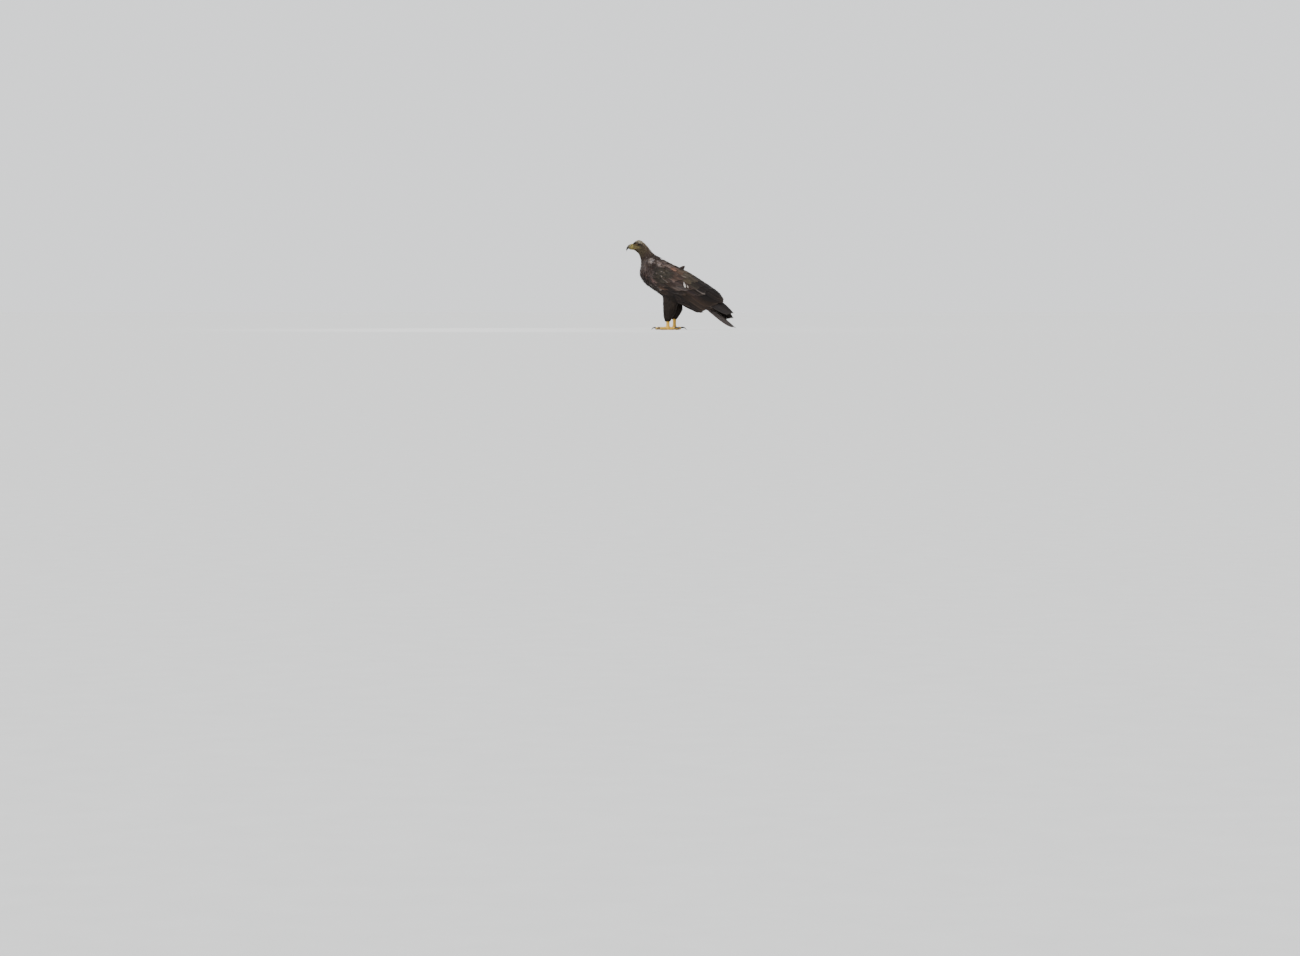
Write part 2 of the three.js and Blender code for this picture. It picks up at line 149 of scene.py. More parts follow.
UPPER_BILL = np.array([  # culmen's y and z, cutting edge's y and z, half width
    (-219, 516, -213, 490, 13.5),
    (-231, 515, -226, 488, 12.5),
    (-242, 512, -237, 487, 10.5),
    (-252, 505, -245, 486.5, 8),
    (-259.5, 495, -251, 484.5, 5.6),
    (-262.5, 484, -255.5, 480, 3.2),
    (-262.0, 474, -258.8, 475.0, 1.5),
    (-260.9, 469.8, -260.5, 470.0, 0.25),
])
LOWER_BILL = np.array([
    (-203, 489.5, -204, 476.5, 12.5),
    (-227, 487.5, -227, 479, 10.5),
    (-239, 486.5, -238, 480.5, 7.5),
    (-246, 485.5, -244, 482.5, 4),
])
LOWER_BILL_TUCK = 2.6  # how far the lower bill reaches up inside the upper one
LOWER_BILL_NARROW = 0.93
BILL_SQUARENESS = (1.9, 3.4)  # over and under its middle
BILL_NARROWER = 0.12  # how much narrower its ridge is made
CERE_END_Y = -233.0
NOSTRIL = {"y": -230.5, "z": 504.5, "long": 2.0, "high": 3.2, "deep": 4.6}

EYE_AT = np.array([19.6, -198, 511.5])
EYE_RADIUS = 9.0
EYE_GAZE = np.array([0.90, -0.42, -0.08])
EYE_OPENING = (6.6, 5.6)  # half length and half height between the lids
UPPER_LID = 0.78  # how high the opening reaches above its middle, over how far below
BROW_AT = np.array([19, -200, 519.5])
BROW_SIZE = np.array([8, 17, 4.6])
BROW_PITCH, BROW_YAW = -14, -14

TUFT_AT = np.array([27, 70, 367])
TUFT_SIZE = {"half_length": 17.0, "radius": 11.0, "rise": 40.0}

PRIMARIES = 7
LONGEST = {"root": (27, 226, 212), "tip": (12.5, 382, 99), "half": 17}
SHORTEST = {"root": (37, 212, 170), "tip": (31, 342, 91), "half": 15}
PRIMARY_LEAN = 0.75  # how far a blade's outer face looks up, over how far it looks out
PRIMARY_BOW, PRIMARY_CAMBER, PRIMARY_THICK, PRIMARY_POINT = 3, 0.10, 0.9, 0.6
RIGHT_TIPS_DROP = 29.0

TAIL_ROOT = np.array([190.0, 190.0])
TAIL_TIP = np.array([391.0, 13.0])
TAIL_HALF = (30, 50)  # half widths at its root and end
TAIL_ARCH = (36, 0.55)  # how far its sides hang at the root, and what is left of that at the end
TAIL_OUTER_SHORT = 46  # how much shorter its outermost feathers are
TAIL_FEATHERS = 12

# ---------------------------------------------------------------- numbers


def to_frame(points):
    """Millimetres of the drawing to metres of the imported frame."""
    return (np.asarray(points, float) - (0, MIDDLE_Y, 0)) / 1000


def smooth(low, high, value):
    """Runs softly from 0 at low to 1 at high."""
    t = np.clip((np.asarray(value, float) - low) / (high - low), 0, 1)
    return t * t * (3 - 2 * t)


def unit(vectors):
    return vectors / np.maximum(np.linalg.norm(vectors, axis=-1, keepdims=True), 1e-9)


def mesh_grid(a, b):
    return np.meshgrid(a, b, indexing="ij")


def full_turn(count):
    return np.linspace(0, 2 * np.pi, count, endpoint=False)


def tube_grid(steps, sides):
    """Places along a tube, from 0 to 1, and angles round it."""
    return mesh_grid(np.linspace(0, 1, steps), full_turn(sides))


def tangent(function, t, step=1e-3):
    """The unit direction in which a function of one number moves."""
    return unit(function(t + step) - function(t - step))


def spline(rows):
    """A smooth curve through rows of numbers, as a function of 0 to 1."""
    rows = np.asarray(rows, float)
    ends = np.vstack([2 * rows[0] - rows[1], rows, 2 * rows[-1] - rows[-2]])

    def at(t):
        place = np.clip(np.asarray(t, float), 0, 1) * (len(rows) - 1)
        i = np.minimum(place.astype(int), len(rows) - 2)
        f = (place - i)[..., None]
        a, b, c, d = ends[i], ends[i + 1], ends[i + 2], ends[i + 3]
        first, last = (c - a) / 2, (d - b) / 2
        cubic = (2 * b - 2 * c + first + last) * f**3 + (3 * c - 3 * b - 2 * first - last) * f**2
        return cubic + first * f + b

    return at


body_at = spline(BODY)
wing_at = spline(WING)
thigh_at = spline(THIGH)


def coat_at(t):
    """Depth, spacing, length ratio, width ratio and point of the coat at a place along the body."""
    station = np.asarray(t, float) * (len(BODY) - 1)
    return np.stack([np.interp(station, COAT[:, 0], COAT[:, k]) for k in range(1, 6)], -1)


def oval(angle, squareness):
    """Cosine and sine of a superellipse."""
    c, s = np.cos(angle), np.sin(angle)
    power = 2 / squareness
    return np.sign(c) * np.abs(c) ** power, np.sign(s) * np.abs(s) ** power


def cross_section(row, angle, squareness, inset=0.0):
    """A point of the rounded outline that has a row's top (y, z), bottom (y, z) and half width."""
    top, bottom, half = row[..., 0:2], row[..., 2:4], row[..., 4]
    middle, up = (top + bottom) / 2, (top - bottom) / 2
    reach = np.linalg.norm(up, axis=-1)
    up = up * np.maximum(1 - inset / reach, 0.1)[..., None]
    c, s = oval(angle, squareness)
    x = c * np.maximum(half - inset, 0.1 * half)
    return np.stack([x, middle[..., 0] + up[..., 0] * s, middle[..., 1] + up[..., 1] * s], -1)


def body_point(t, angle, inset=0.0):
    """A point of the body's outline; angle 0 is its left side and a quarter turn is its back."""
    return cross_section(body_at(t), angle, BODY_SQUARENESS, inset)


def wing_depth(u):
    """The coat's depth along the wing."""
    return WING_COAT[0] + (WING_COAT[1] - WING_COAT[0]) * smooth(0.22, 0.45, u)


def wing_coat(u):
    """Depth, spacing, length ratio, width ratio and point of the small coverts along the wing."""
    return np.stack([wing_depth(u), 4.8 + 7 * u, 0 * u + 3.7, 0 * u + 0.70, 0 * u + 0.35], -1)


def thigh_coat(s):
    """The same numbers down the thigh, where feathers get smaller and more pointed."""
    return np.stack([0 * s + THIGH_DEPTH, 6.7 - 3.3 * s, 3.9 + 1.8 * s, 0.60 - 0.2 * s, 0.5 + 0.5 * s], -1)


def wing_point(u, k, side=LEFT):
    """A point of the folded wing's outer face: u runs from wrist to tip, k from the back to the hem."""
    row = wing_at(u)
    turn = np.pi * np.clip(k, -0.5, 0.5)
    v = np.where(k < 0.5, 0.5 * (1 - np.cos(turn)), k)
    fall = np.maximum(0, (v - 0.5) / 0.5)
    inner, half = row[..., 4], row[..., 5]
    x = (inner + (half - inner) * np.sin(turn)) * (1 - WING_HEM_TUCK * fall * fall)
    y = row[..., 0] + (row[..., 2] - row[..., 0]) * v
    z = row[..., 1] + (row[..., 3] - row[..., 1]) * v
    return np.stack([side * x, y, z], -1)


def thigh_point(s, angle, side, inset=0.0):
    """A point of a feathered thigh, from hip (s 0) to hem (s 1)."""
    row = thigh_at(s)
    z, y, long, half = row[..., 0], row[..., 1], row[..., 2], row[..., 3]
    y = y + LEG_STEP[side] * np.clip((LEG_SWING[0] - z) / (LEG_SWING[0] - LEG_SWING[1]), 0, 1)
    if side == RIGHT:
        z = z + RIGHT_HEM_RISE * smooth(-150, -54, -z)
    x = side * LEG_APART + (half - inset) * np.cos(angle)
    return np.stack([x, y + (long - inset) * np.sin(angle), z], -1)


def back_point(t, across, side=LEFT):
    """A point of the body's outline by its angle from the middle of the back."""
    return body_point(t, np.pi / 2 - side * across)


def ridge_point(u, across, side=LEFT):
    """A point over the line where the two wings meet on the back; across runs from -1 to 1."""
    row = wing_at(u)
    return np.stack([side * RIDGE_HALF * across, row[..., 0], row[..., 1] - RIDGE_FALL * across**2], -1)


def tail_point(u, across, side=LEFT):
    """A point of the tail's upper face: u from base to end, across from -1 on the right to 1."""
    length = np.linalg.norm(TAIL_TIP - TAIL_ROOT)
    slope = (TAIL_TIP - TAIL_ROOT) / length
    reach = u * (length - TAIL_OUTER_SHORT * across**2)
    half = TAIL_HALF[0] + (TAIL_HALF[1] - TAIL_HALF[0]) * np.sin(np.pi / 2 * np.clip(u, 0, 1))
    hang = TAIL_ARCH[0] * across**2 * (1 + (TAIL_ARCH[1] - 1) * u)
    y = TAIL_ROOT[0] + slope[0] * reach + slope[1] * hang
    z = TAIL_ROOT[1] + slope[1] * reach - slope[0] * hang
    return np.stack([side * half * across, y, z], -1)


def leg_point(side, x, y, z):
    """A point by its distance outwards and back from the middle of a foot, and its height."""
    x, y, z = np.broadcast_arrays(x, y, z)
    return np.stack([side * (LEG_APART + x), TARSUS["y"] + LEG_STEP[side] + y, z], -1).astype(float)


def slopes(function, a, b, side):
    """Unit tangents of a surface along its first and second parameter, and its outward normal."""
    along = tangent(lambda moved: function(moved, b, side), a)
    across = tangent(lambda moved: function(a, moved, side), b)
    return along, across, unit(np.cross(across, along)) * side


# ---------------------------------------------------------------- meshes


def new_object(name, points, quads):
    """A smooth mesh of four-sided faces from points in millimetres."""
    mesh = bpy.data.meshes.new(name)
    quads = np.asarray(quads, np.int32)
    mesh.vertices.add(len(points))
    mesh.vertices.foreach_set("co", to_frame(points).astype(np.float32).ravel())
    mesh.loops.add(quads.size)
    mesh.loops.foreach_set("vertex_index", quads.ravel())
    mesh.polygons.add(len(quads))
    mesh.polygons.foreach_set("loop_start", np.arange(0, quads.size, 4, dtype=np.int32))
    mesh.polygons.foreach_set("use_smooth", np.ones(len(quads), bool))
    mesh.update(calc_edges=True)
    piece = bpy.data.objects.new(name, mesh)
    bpy.context.scene.collection.objects.link(piece)
    return piece


def numbers_of(items, name, width, kind=np.float32):
    """The same numbers of every item of a mesh, a row of width numbers each."""
    flat = np.empty(len(items) * width, kind)
    items.foreach_get(name, flat)
    return flat.reshape(-1, width)


def points_of(piece):
    """A mesh's points, in the drawing's millimetres."""
    return numbers_of(piece.data.vertices, "co", 3).astype(float) * 1000 + (0, MIDDLE_Y, 0)


def set_uv(piece, name, per_point):
    corner = numbers_of(piece.data.loops, "vertex_index", 1, np.int32)
    layer = piece.data.uv_layers.new(name=name)
    layer.data.foreach_set("uv", np.asarray(per_point, np.float32)[corner].ravel())


def set_vector(piece, name, per_point, kind="FLOAT_VECTOR", field="vector"):
    data = np.ascontiguousarray(per_point, np.float32).ravel()
    piece.data.attributes.new(name, kind, "POINT").data.foreach_set(field, data)


def set_colour(piece, name, per_point):
    opaque = np.ones((len(per_point), 1))
    set_vector(piece, name, np.concatenate([per_point, opaque], 1), "FLOAT_COLOR", "color")


def kd_tree(points):
    """A tree that finds the nearest of some points."""
    tree = KDTree(len(points))
    for i, place in enumerate(points.tolist()):
        tree.insert(place, i)
    tree.balance()
    return tree


def grid_quads(rows, columns, closed):
    """Faces of a grid of points; closed joins its last column to its first."""
    i, j = mesh_grid(np.arange(rows - 1), np.arange(columns if closed else columns - 1))
    here, after = i * columns, (j + 1) % columns
    quads = np.stack([here + j, here + after, here + columns + after, here + columns + j], -1)
    return quads.reshape(-1, 4)


def tube_mesh(rings):
    """Points and faces of a closed tube through rings (n, m, 3), with tiny flat ends."""
    n, m = rings.shape[:2]
    middle = rings.mean(1, keepdims=True)
    first = middle[:1] + (rings[:1] - middle[:1]) * 0.02
    last = middle[-1:] + (rings[-1:] - middle[-1:]) * 0.02
    rings = np.concatenate([first, rings, last])
    return rings.reshape(-1, 3), grid_quads(n + 2, m, True)


def joined(parts):
    """One list of points and faces from several."""
    points, quads, count = [], [], 0
    for some_points, some_quads in parts:
        points.append(some_points)
        quads.append(some_quads + count)
        count += len(some_points)
    return np.concatenate(points), np.concatenate(quads)


def turned(points, pitch, yaw):
    """Points turned about X by pitch and then about Z by yaw, in degrees."""
    a, b = math.radians(pitch), math.radians(yaw)
    x, y, z = points[..., 0], points[..., 1], points[..., 2]
    y, z = y * math.cos(a) - z * math.sin(a), y * math.sin(a) + z * math.cos(a)
    return np.stack([x * math.cos(b) - y * math.sin(b), x * math.sin(b) + y * math.cos(b), z], -1)


def ball(rings=24, sides=36):
    """Rings of a unit ball, from +Y to -Y."""
    turn, around = mesh_grid(np.linspace(0.02, np.pi - 0.02, rings), full_turn(sides))
    return np.stack([np.sin(turn) * np.cos(around), np.cos(turn), np.sin(turn) * np.sin(around)], -1)


def tube_rings(points, radii, steps, sides, broad=1.0, tall=1.0, rounded=0.0):
    """Rings of a tube along points, rounded off over a share of its end: rings, centres, share and angle."""
    t, angle = tube_grid(steps, sides)
    path, radius = spline(points), spline(np.asarray(radii, float)[:, None])
    centre = path(t)
    along = tangent(path, t)
    upright = np.abs(along[..., 2:3]) > 0.85
    guide = np.where(upright, (0.0, 1.0, 0.0), (0.0, 0.0, 1.0))
    side = unit(np.cross(along, guide))
    up = np.cross(side, along)
    r = radius(t)
    if rounded:
        close = np.clip((t - 1 + rounded) / rounded, 0, 1)
        r = r * np.sqrt(np.maximum(1 - close**2, 0.003))[..., None]
    ring = side * np.cos(angle)[..., None] * r * broad + up * np.sin(angle)[..., None] * r * tall
    return centre + ring, centre, t, angle


def finished(piece, slot, *nodes):
    """Ties a piece to the body and hides the solids it stands for; slot is not used."""
    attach(piece, "root")
    if nodes:
        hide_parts(*nodes)


# ---------------------------------------------------------------- colours

# Linear colours of the plumage.
BROWN = (0.030, 0.0195, 0.0142)
CREAM = (0.44, 0.385, 0.28)
PALE = (0.18, 0.148, 0.13)
WHITE = (0.60, 0.55, 0.50)
PLUMAGE_TONE = 0.74  # how light the whole plumage is
WANDER = 4.5  # mm that a feather's colour strays from its place in the pattern

# Soft patches laid over BROWN in turn, seen from the side: middle y and z, half sizes along and across,
# tilt in degrees from level (tail end down is negative), strength and colour.
PATCHES = (
    ("breast", -130, 330, 90, 80, -50, 1.0, (0.023, 0.0155, 0.0148)),
    ("breast's front", -158, 372, 48, 15, -78, 0.8, (0.056, 0.032, 0.026)),
    ("belly", -20, 215, 120, 55, -35, 1.0, (0.021, 0.0142, 0.0118)),
    ("trousers", 0, 130, 75, 95, 0, 1.0, (0.0205, 0.0142, 0.0105)),
    ("neck", -140, 430, 50, 55, -50, 1.0, (0.050, 0.033, 0.026)),
    ("nape", -140, 496, 42, 17, -52, 0.8, (0.14, 0.10, 0.07)),
    ("throat", -196, 463, 30, 20, -30, 0.9, (0.070, 0.056, 0.031)),
    ("cheek", -178, 484, 34, 24, -35, 0.9, (0.080, 0.060, 0.034)),
    ("crown", -183, 532, 40, 12, -8, 0.95, CREAM),
    ("occiput", -158, 515, 20, 15, -45, 0.7, (0.24, 0.185, 0.12)),
    ("lores", -207, 498, 26, 11, -6, 0.9, (0.21, 0.17, 0.075)),
    ("eye stripe", -186, 508, 30, 8, -14, 0.95, (0.022, 0.0155, 0.011)),
    ("neck streak", -153, 398, 10, 34, -6, 0.65, (0.14, 0.11, 0.10)),
    ("neck patch", -119, 419, 15, 15, -40, 0.9, (0.34, 0.29, 0.27)),
    ("wing bend", -129, 352, 14, 40, 10, 0.7, (0.10, 0.072, 0.066)),
    ("bend's foot", -97, 286, 15, 13, 0, 0.7, (0.135, 0.082, 0.075)),
    ("lesser coverts", -50, 326, 62, 48, -35, 0.8, (0.040, 0.034, 0.0245)),
    ("middle coverts", 48, 300, 62, 46, -33, 0.85, (0.058, 0.037, 0.031)),
    ("scapulars", -25, 393, 78, 18, -27, 0.9, (0.088, 0.061, 0.051)),
    ("shoulder", -57, 399, 32, 11, -27, 0.8, (0.115, 0.082, 0.073)),
    ("rust", 48, 358, 30, 11, -25, 0.85, (0.155, 0.076, 0.052)),
    ("long scapulars", 104, 328, 66, 15, -31, 0.8, (0.088, 0.061, 0.043)),
    ("olive band", 134, 290, 62, 25, -56, 0.85, (0.072, 0.057, 0.038)),
    ("purple", 165, 222, 42, 26, -35, 0.8, (0.044, 0.028, 0.027)),
    ("rear", 240, 240, 88, 70, -40, 1.0, (0.0135, 0.0098, 0.009)),
    ("greater tips", 68, 262, 62, 11, -30, 0.35, (0.12, 0.088, 0.078)),
    ("pale line", 85, 245, 42, 5, -5, 0.4, (0.12, 0.098, 0.088)),
    ("dark flank", -6, 232, 60, 17, -10, 0.9, (0.0125, 0.0095, 0.0095)),
    ("flank rust", -38, 243, 17, 12, 0, 0.6, (0.10, 0.056, 0.037)),
    ("secondaries", 90, 165, 110, 30, -36, 0.9, (0.0145, 0.0105, 0.0095)),
    ("neck spot", -84, 394, 12, 8, -20, 0.8, (0.26, 0.20, 0.175)),
    ("flank spot", -78, 243, 10, 9, 0, 0.8, (0.17, 0.145, 0.14)),
)
PATCH_SOFTNESS = 0.45
FLANK = 68.0  # how far from the middle the flank begins
TAIL_COLOUR = (0.036, 0.028, 0.025)
PRIMARY_COLOUR = (0.0125, 0.0098, 0.0092)
TUFT_COLOUR = (0.034, 0.023, 0.020)
TAIL_COVERT_COLOUR = (0.027, 0.019, 0.016)


def markings(points):
    """The plumage's colour at points, the same on both sides of the body."""
    colour = np.empty(points.shape)
    colour[:] = BROWN
    for name, y, z, long, wide, tilt, strength, shade in PATCHES:
        a = math.radians(tilt)
        dy, dz = points[..., 1] - y, points[..., 2] - z
        along = dy * math.cos(a) + dz * math.sin(a)
        across = dz * math.cos(a) - dy * math.sin(a)
        far = np.hypot(along / long, across / wide)
        share = strength * (1 - smooth(1 - PATCH_SOFTNESS, 1 + PATCH_SOFTNESS, far))
        if name.startswith("flank"):
            share = share * (np.abs(points[..., 0]) > FLANK)
        colour += (np.array(shade) - colour) * share[..., None]
    return colour * PLUMAGE_TONE


def toned(colour, spread, share):
    """Each feather's own shade of its colour; a share of them are faded towards PALE."""
    count = (len(colour),) + (1,) * (colour.ndim - 1)
    tone = np.exp(random.normal(0, spread, count))
    warm = 1 + random.normal(0, 0.05, count) * np.array([1, 0.2, -1])
    faded = np.where(random.random(count) < share, random.uniform(0.2, 0.65, count), 0)
    colour = colour * tone * warm
    return colour + (np.array(PALE) - colour) * faded


# ---------------------------------------------------------------- materials


class Shader:
    """A material built by small calls. A value is a number, a tuple or another node's output."""

    def __init__(self, name, **sockets):
        self.material = bpy.data.materials.new(name)
        self.material.use_nodes = True
        self.tree = self.material.node_tree
        self.surface = self.tree.nodes["Principled BSDF"]
        for socket, value in sockets.items():
            title = socket.replace("_", " ").title().replace("Ior", "IOR")
            self.surface.inputs[title].default_value = value

    def put(self, socket, value):
        if isinstance(value, bpy.types.NodeSocket):
            self.tree.links.new(value, socket)
        elif value is not None:
            socket.default_value = value

    def node(self, kind, *values, out=0, **settings):
        made = self.tree.nodes.new("ShaderNode" + kind)
        for setting, value in settings.items():
            setattr(made, setting, value)
        for i, value in enumerate(values):
            self.put(made.inputs[i], value)
        return made.outputs[out]

    def math(self, operation, *values):
        return self.node("Math", *values, operation=operation)

    def times(self, *values):
        return reduce(lambda a, b: self.math("MULTIPLY", a, b), values)

    def plus(self, *values):
        return reduce(lambda a, b: self.math("ADD", a, b), values)

    def numbers(self, name):
        """The three numbers of a mesh's vector attribute."""
        outputs = self.node("SeparateXYZ", self.node("Attribute", out=1, attribute_name=name)).node.outputs
        return outputs[0], outputs[1], outputs[2]

    def tint(self):
        return self.node("Attribute", out=0, attribute_name="tint")

    def object_place(self):
        return self.node("TexCoord", out=3)

    def vector(self, x, y, z):
        return self.node("CombineXYZ", x, y, z)

    def noise(self, vector, scale, detail=3.0, rough=0.55):
        return self.node("TexNoise", vector, None, scale, detail, rough)

    def grain(self, scale, detail=3.0, rough=0.6):
        """Noise in the object's own metres."""
        return self.noise(self.object_place(), scale, detail, rough)

    def cells(self, scale):
        return self.node("TexVoronoi", self.object_place(), None, scale, feature="DISTANCE_TO_EDGE")

    def ramp(self, value, low, high, start=0.0, end=1.0):
        return self.node("MapRange", value, low, high, start, end, interpolation_type="SMOOTHSTEP")

    def varied(self, noise, start, end):
        """A noise as a factor from start to end."""
        return self.ramp(noise, 0.3, 0.7, start, end)

    def mix(self, factor, a, b):
        made = self.tree.nodes.new("ShaderNodeMix")
        made.data_type = "RGBA"
        for socket, value in ((0, factor), (6, a), (7, b)):
            if isinstance(value, tuple) and len(value) == 3:
                value = (*value, 1)
            self.put(made.inputs[socket], value)
        return made.outputs[2]

    def scaled(self, colour, factor):
        """A colour times a number."""
        return self.node("VectorMath", colour, None, None, factor, operation="SCALE")

    def bump(self, height, depth, strength=1.0):
        """Relief of a depth in millimetres."""
        made = self.tree.nodes.new("ShaderNodeBump")
        for socket, value in (("Strength", strength), ("Distance", depth / 1000), ("Height", height)):
            self.put(made.inputs[socket], value)
        return made.outputs[0]

    def finish(self, colour, rough, normal):
        self.put(self.surface.inputs["Base Color"], colour)
        self.put(self.surface.inputs["Roughness"], rough)
        self.put(self.surface.inputs["Normal"], normal)
        return self.material


def vane_material(name, barb, loose, rough, shaft, base=0.5, mottled=0.0):
    """Feather: mm between barbs, their looseness, gloss, how dark the shaft and base are, and mottling; the
    base's darkening is partly the feather's own dark down and partly painted shade where feathers overlap.
    """
    s = Shader(name, sheen_weight=0.015, sheen_roughness=0.45, specular_ior_level=0.13)
    across, along, chance = s.numbers("flow")
    web, reach, fringe = s.numbers("vane")
    wide = s.math("ABSOLUTE", across)
    wander = s.noise(s.vector(across, along, s.times(chance, 90.0)), 0.16, 2.0)
    barb_place = s.plus(s.math("SUBTRACT", along, s.times(wide, 0.95)), s.times(wander, 3.5))
    streaks = s.noise(s.vector(barb_place, s.times(across, 0.10), s.times(chance, 70.0)), 0.9, 3.0, 0.65)
    splits = s.ramp(streaks, 0.60, 0.72)
    edge = s.plus(s.math("POWER", s.math("ABSOLUTE", web), 3.0), s.math("POWER", reach, 7.0))
    blotch_place = s.vector(across, along, s.times(chance, 31.0))
    band_place = s.vector(s.times(barb_place, 0.30), s.times(across, 0.05), s.times(chance, 50.0))
    quill = s.ramp(wide, 0.18, 0.55, shaft, 0.0)
    shade = s.times(
        # Darker towards the root: partly the feather's own dark down, partly painted shade where the
        # feathers overlap.
        s.ramp(reach, 0.1, 0.62, base, 1.0),
        s.varied(streaks, 1 - 0.28 * loose, 1 + 0.24 * loose),
        s.math("SUBTRACT", 1.0, s.times(splits, 0.35 * loose)),
        s.varied(s.noise(blotch_place, 0.10, 2.0, 0.6), 0.86, 1.14),
        s.ramp(s.noise(band_place, 1.0, 2.0), 0.34, 0.66, 0.89, 1.09),
        s.ramp(s.math("ABSOLUTE", web), 0.0, 0.9, 0.86, 1.05),
        s.math("SUBTRACT", 1.0, quill),
    )
    colour = s.scaled(s.tint(), shade)
    if mottled:
        speckle = s.noise(blotch_place, 0.28, 4.0, 0.75)
        inner = s.ramp(edge, 0.02, 0.55, 1.0, 0.15)
        colour = s.mix(s.times(s.ramp(speckle, 0.50, 0.64), inner, mottled), colour, (0.26, 0.235, 0.21))
    faded = s.mix(0.10, s.scaled(s.tint(), 2.0), (0.36, 0.30, 0.25))
    colour = s.mix(s.times(s.ramp(edge, 0.45, 1.05), fringe), colour, faded)
    waves = s.math("SINE", s.times(barb_place, 2 * math.pi / barb))
    height = s.plus(s.times(waves, 0.35), s.times(splits, -1.2 * loose), s.times(streaks, 1.2 * loose),
                    s.times(quill, 1.6))
    return s.finish(colour, s.varied(streaks, rough - 0.07, rough + 0.07), s.bump(height, 0.16, 0.8))


def skin_material():
    """Down and dark bases of feathers, in the colours of the coat over it."""
    s = Shader("down", sheen_weight=0.05, sheen_roughness=0.6, specular_ior_level=0.1)
    fibres, clumps = s.grain(900.0, 4.0, 0.7), s.grain(130.0)
    shade = s.times(s.varied(fibres, 0.5, 0.95), s.varied(clumps, 0.6, 1.05))
    return s.finish(s.scaled(s.tint(), shade), 0.85, s.bump(s.plus(s.times(fibres, 0.5), clumps), 1.2, 0.8))


def horn_material():
    """Bill: colour from its tint, fine growth lines along it, worn satin gloss."""
    s = Shader("bill_horn", coat_weight=0.08, coat_roughness=0.3, specular_ior_level=0.28)
    along, angle, cere = s.numbers("flow")
    lines = s.noise(s.vector(s.times(along, 3.0), s.times(angle, 26.0), 0.0), 2.2, 4.0, 0.6)
    rings = s.noise(s.vector(s.times(along, 60.0), angle, 3.0), 1.0, 2.0)
    wear = s.grain(170.0)
    shade = s.times(s.varied(lines, 0.86, 1.12), s.varied(wear, 0.86, 1.1))
    pores = s.times(s.grain(1400.0), s.plus(s.times(cere, 0.9), 0.15))
    height = s.plus(s.times(lines, 0.5), pores, s.times(rings, 0.4))
    rough = s.plus(s.times(cere, 0.16), s.varied(wear, 0.30, 0.42))
    return s.finish(s.scaled(s.tint(), shade), rough, s.bump(height, 0.25, 0.7))


def foot_material():
    """Scaly yellow skin: plates across the top, small round scales with fine grooves elsewhere."""
    s = Shader("scaly_foot", specular_ior_level=0.4, sheen_weight=0.05)
    plates, _, upper = s.numbers("flow")
    fine = s.grain(2200.0)
    groove = s.math("MAXIMUM", s.ramp(s.cells(640.0), 0.01, 0.13), s.times(upper, 0.8))
    plate = s.ramp(plates, 0.0, 0.55)
    shade = s.times(s.ramp(groove, 0.0, 1.0, 0.70, 1.0), s.varied(fine, 0.90, 1.08),
                    s.ramp(plate, 0.0, 1.0, 0.52, 1.0))
    dirt = s.ramp(s.grain(70.0, 4.0, 0.65), 0.42, 0.66, 0.0, 0.5)
    colour = s.scaled(s.mix(dirt, s.tint(), (0.42, 0.22, 0.03)), shade)
    height = s.plus(s.times(groove, 0.6), s.plus(s.times(fine, 0.15), s.times(plate, 0.5)))
    return s.finish(colour, s.ramp(groove, 0.0, 1.0, 0.60, 0.42), s.bump(height, 0.35, 0.8))


def claw_material():
    """Dark talon: paler growth lines along it and worn gloss."""
    s = Shader("talon_horn", coat_weight=0.3, coat_roughness=0.2, specular_ior_level=0.5)
    along, angle, _ = s.numbers("flow")
    lines = s.noise(s.vector(s.times(along, 5.0), s.times(angle, 9.0), 0.0), 2.0, 4.0, 0.65)
    worn = s.grain(240.0)
    colour = s.mix(s.ramp(lines, 0.35, 0.75), (0.012, 0.011, 0.012), (0.040, 0.034, 0.032))
    return s.finish(colour, s.varied(worn, 0.24, 0.42), s.bump(s.plus(lines, s.times(worn, 0.4)), 0.15, 0.6))


def bare_skin_material():
    """Lids, brow and the corner of the mouth: finely wrinkled bare skin."""
    s = Shader("bare_skin", specular_ior_level=0.18)
    wrinkles = s.cells(1500.0)
    shade = s.times(s.ramp(wrinkles, 0.0, 0.12, 0.72, 1.0), s.varied(s.grain(300.0), 0.85, 1.12))
    return s.finish(s.scaled(s.tint(), shade), 0.5, s.bump(s.ramp(wrinkles, 0.0, 0.15), 0.12, 0.7))


def eye_material():
    """Iris and pupil by the distance from the gaze, in mm; wet and glossy all over."""
    s = Shader("eye", coat_weight=0.55, coat_roughness=0.02, specular_ior_level=0.0, coat_ior=1.34)
    across, up, _ = s.numbers("flow")
    far = s.math("SQRT", s.plus(s.times(across, across), s.times(up, up)))
    angle = s.math("ARCTAN2", up, across)
    turn = s.vector(s.times(s.math("COSINE", angle), 9.0), s.times(s.math("SINE", angle), 9.0), far)
    rays = s.noise(turn, 1.6, 4.0)
    iris = s.mix(s.varied(rays, 0.0, 1.0), (0.065, 0.033, 0.012), (0.21, 0.122, 0.042))
    iris = s.mix(s.ramp(far, 2.6, 4.6, 0.75, 0.0), iris, (0.10, 0.052, 0.018))
    iris = s.mix(s.ramp(far, 5.4, 6.7), iris, (0.012, 0.009, 0.008))
    colour = s.mix(s.ramp(far, 2.35, 2.6), (0.003, 0.003, 0.003), iris)
    return s.finish(colour, 0.12, s.bump(rays, 0.05, 0.3))


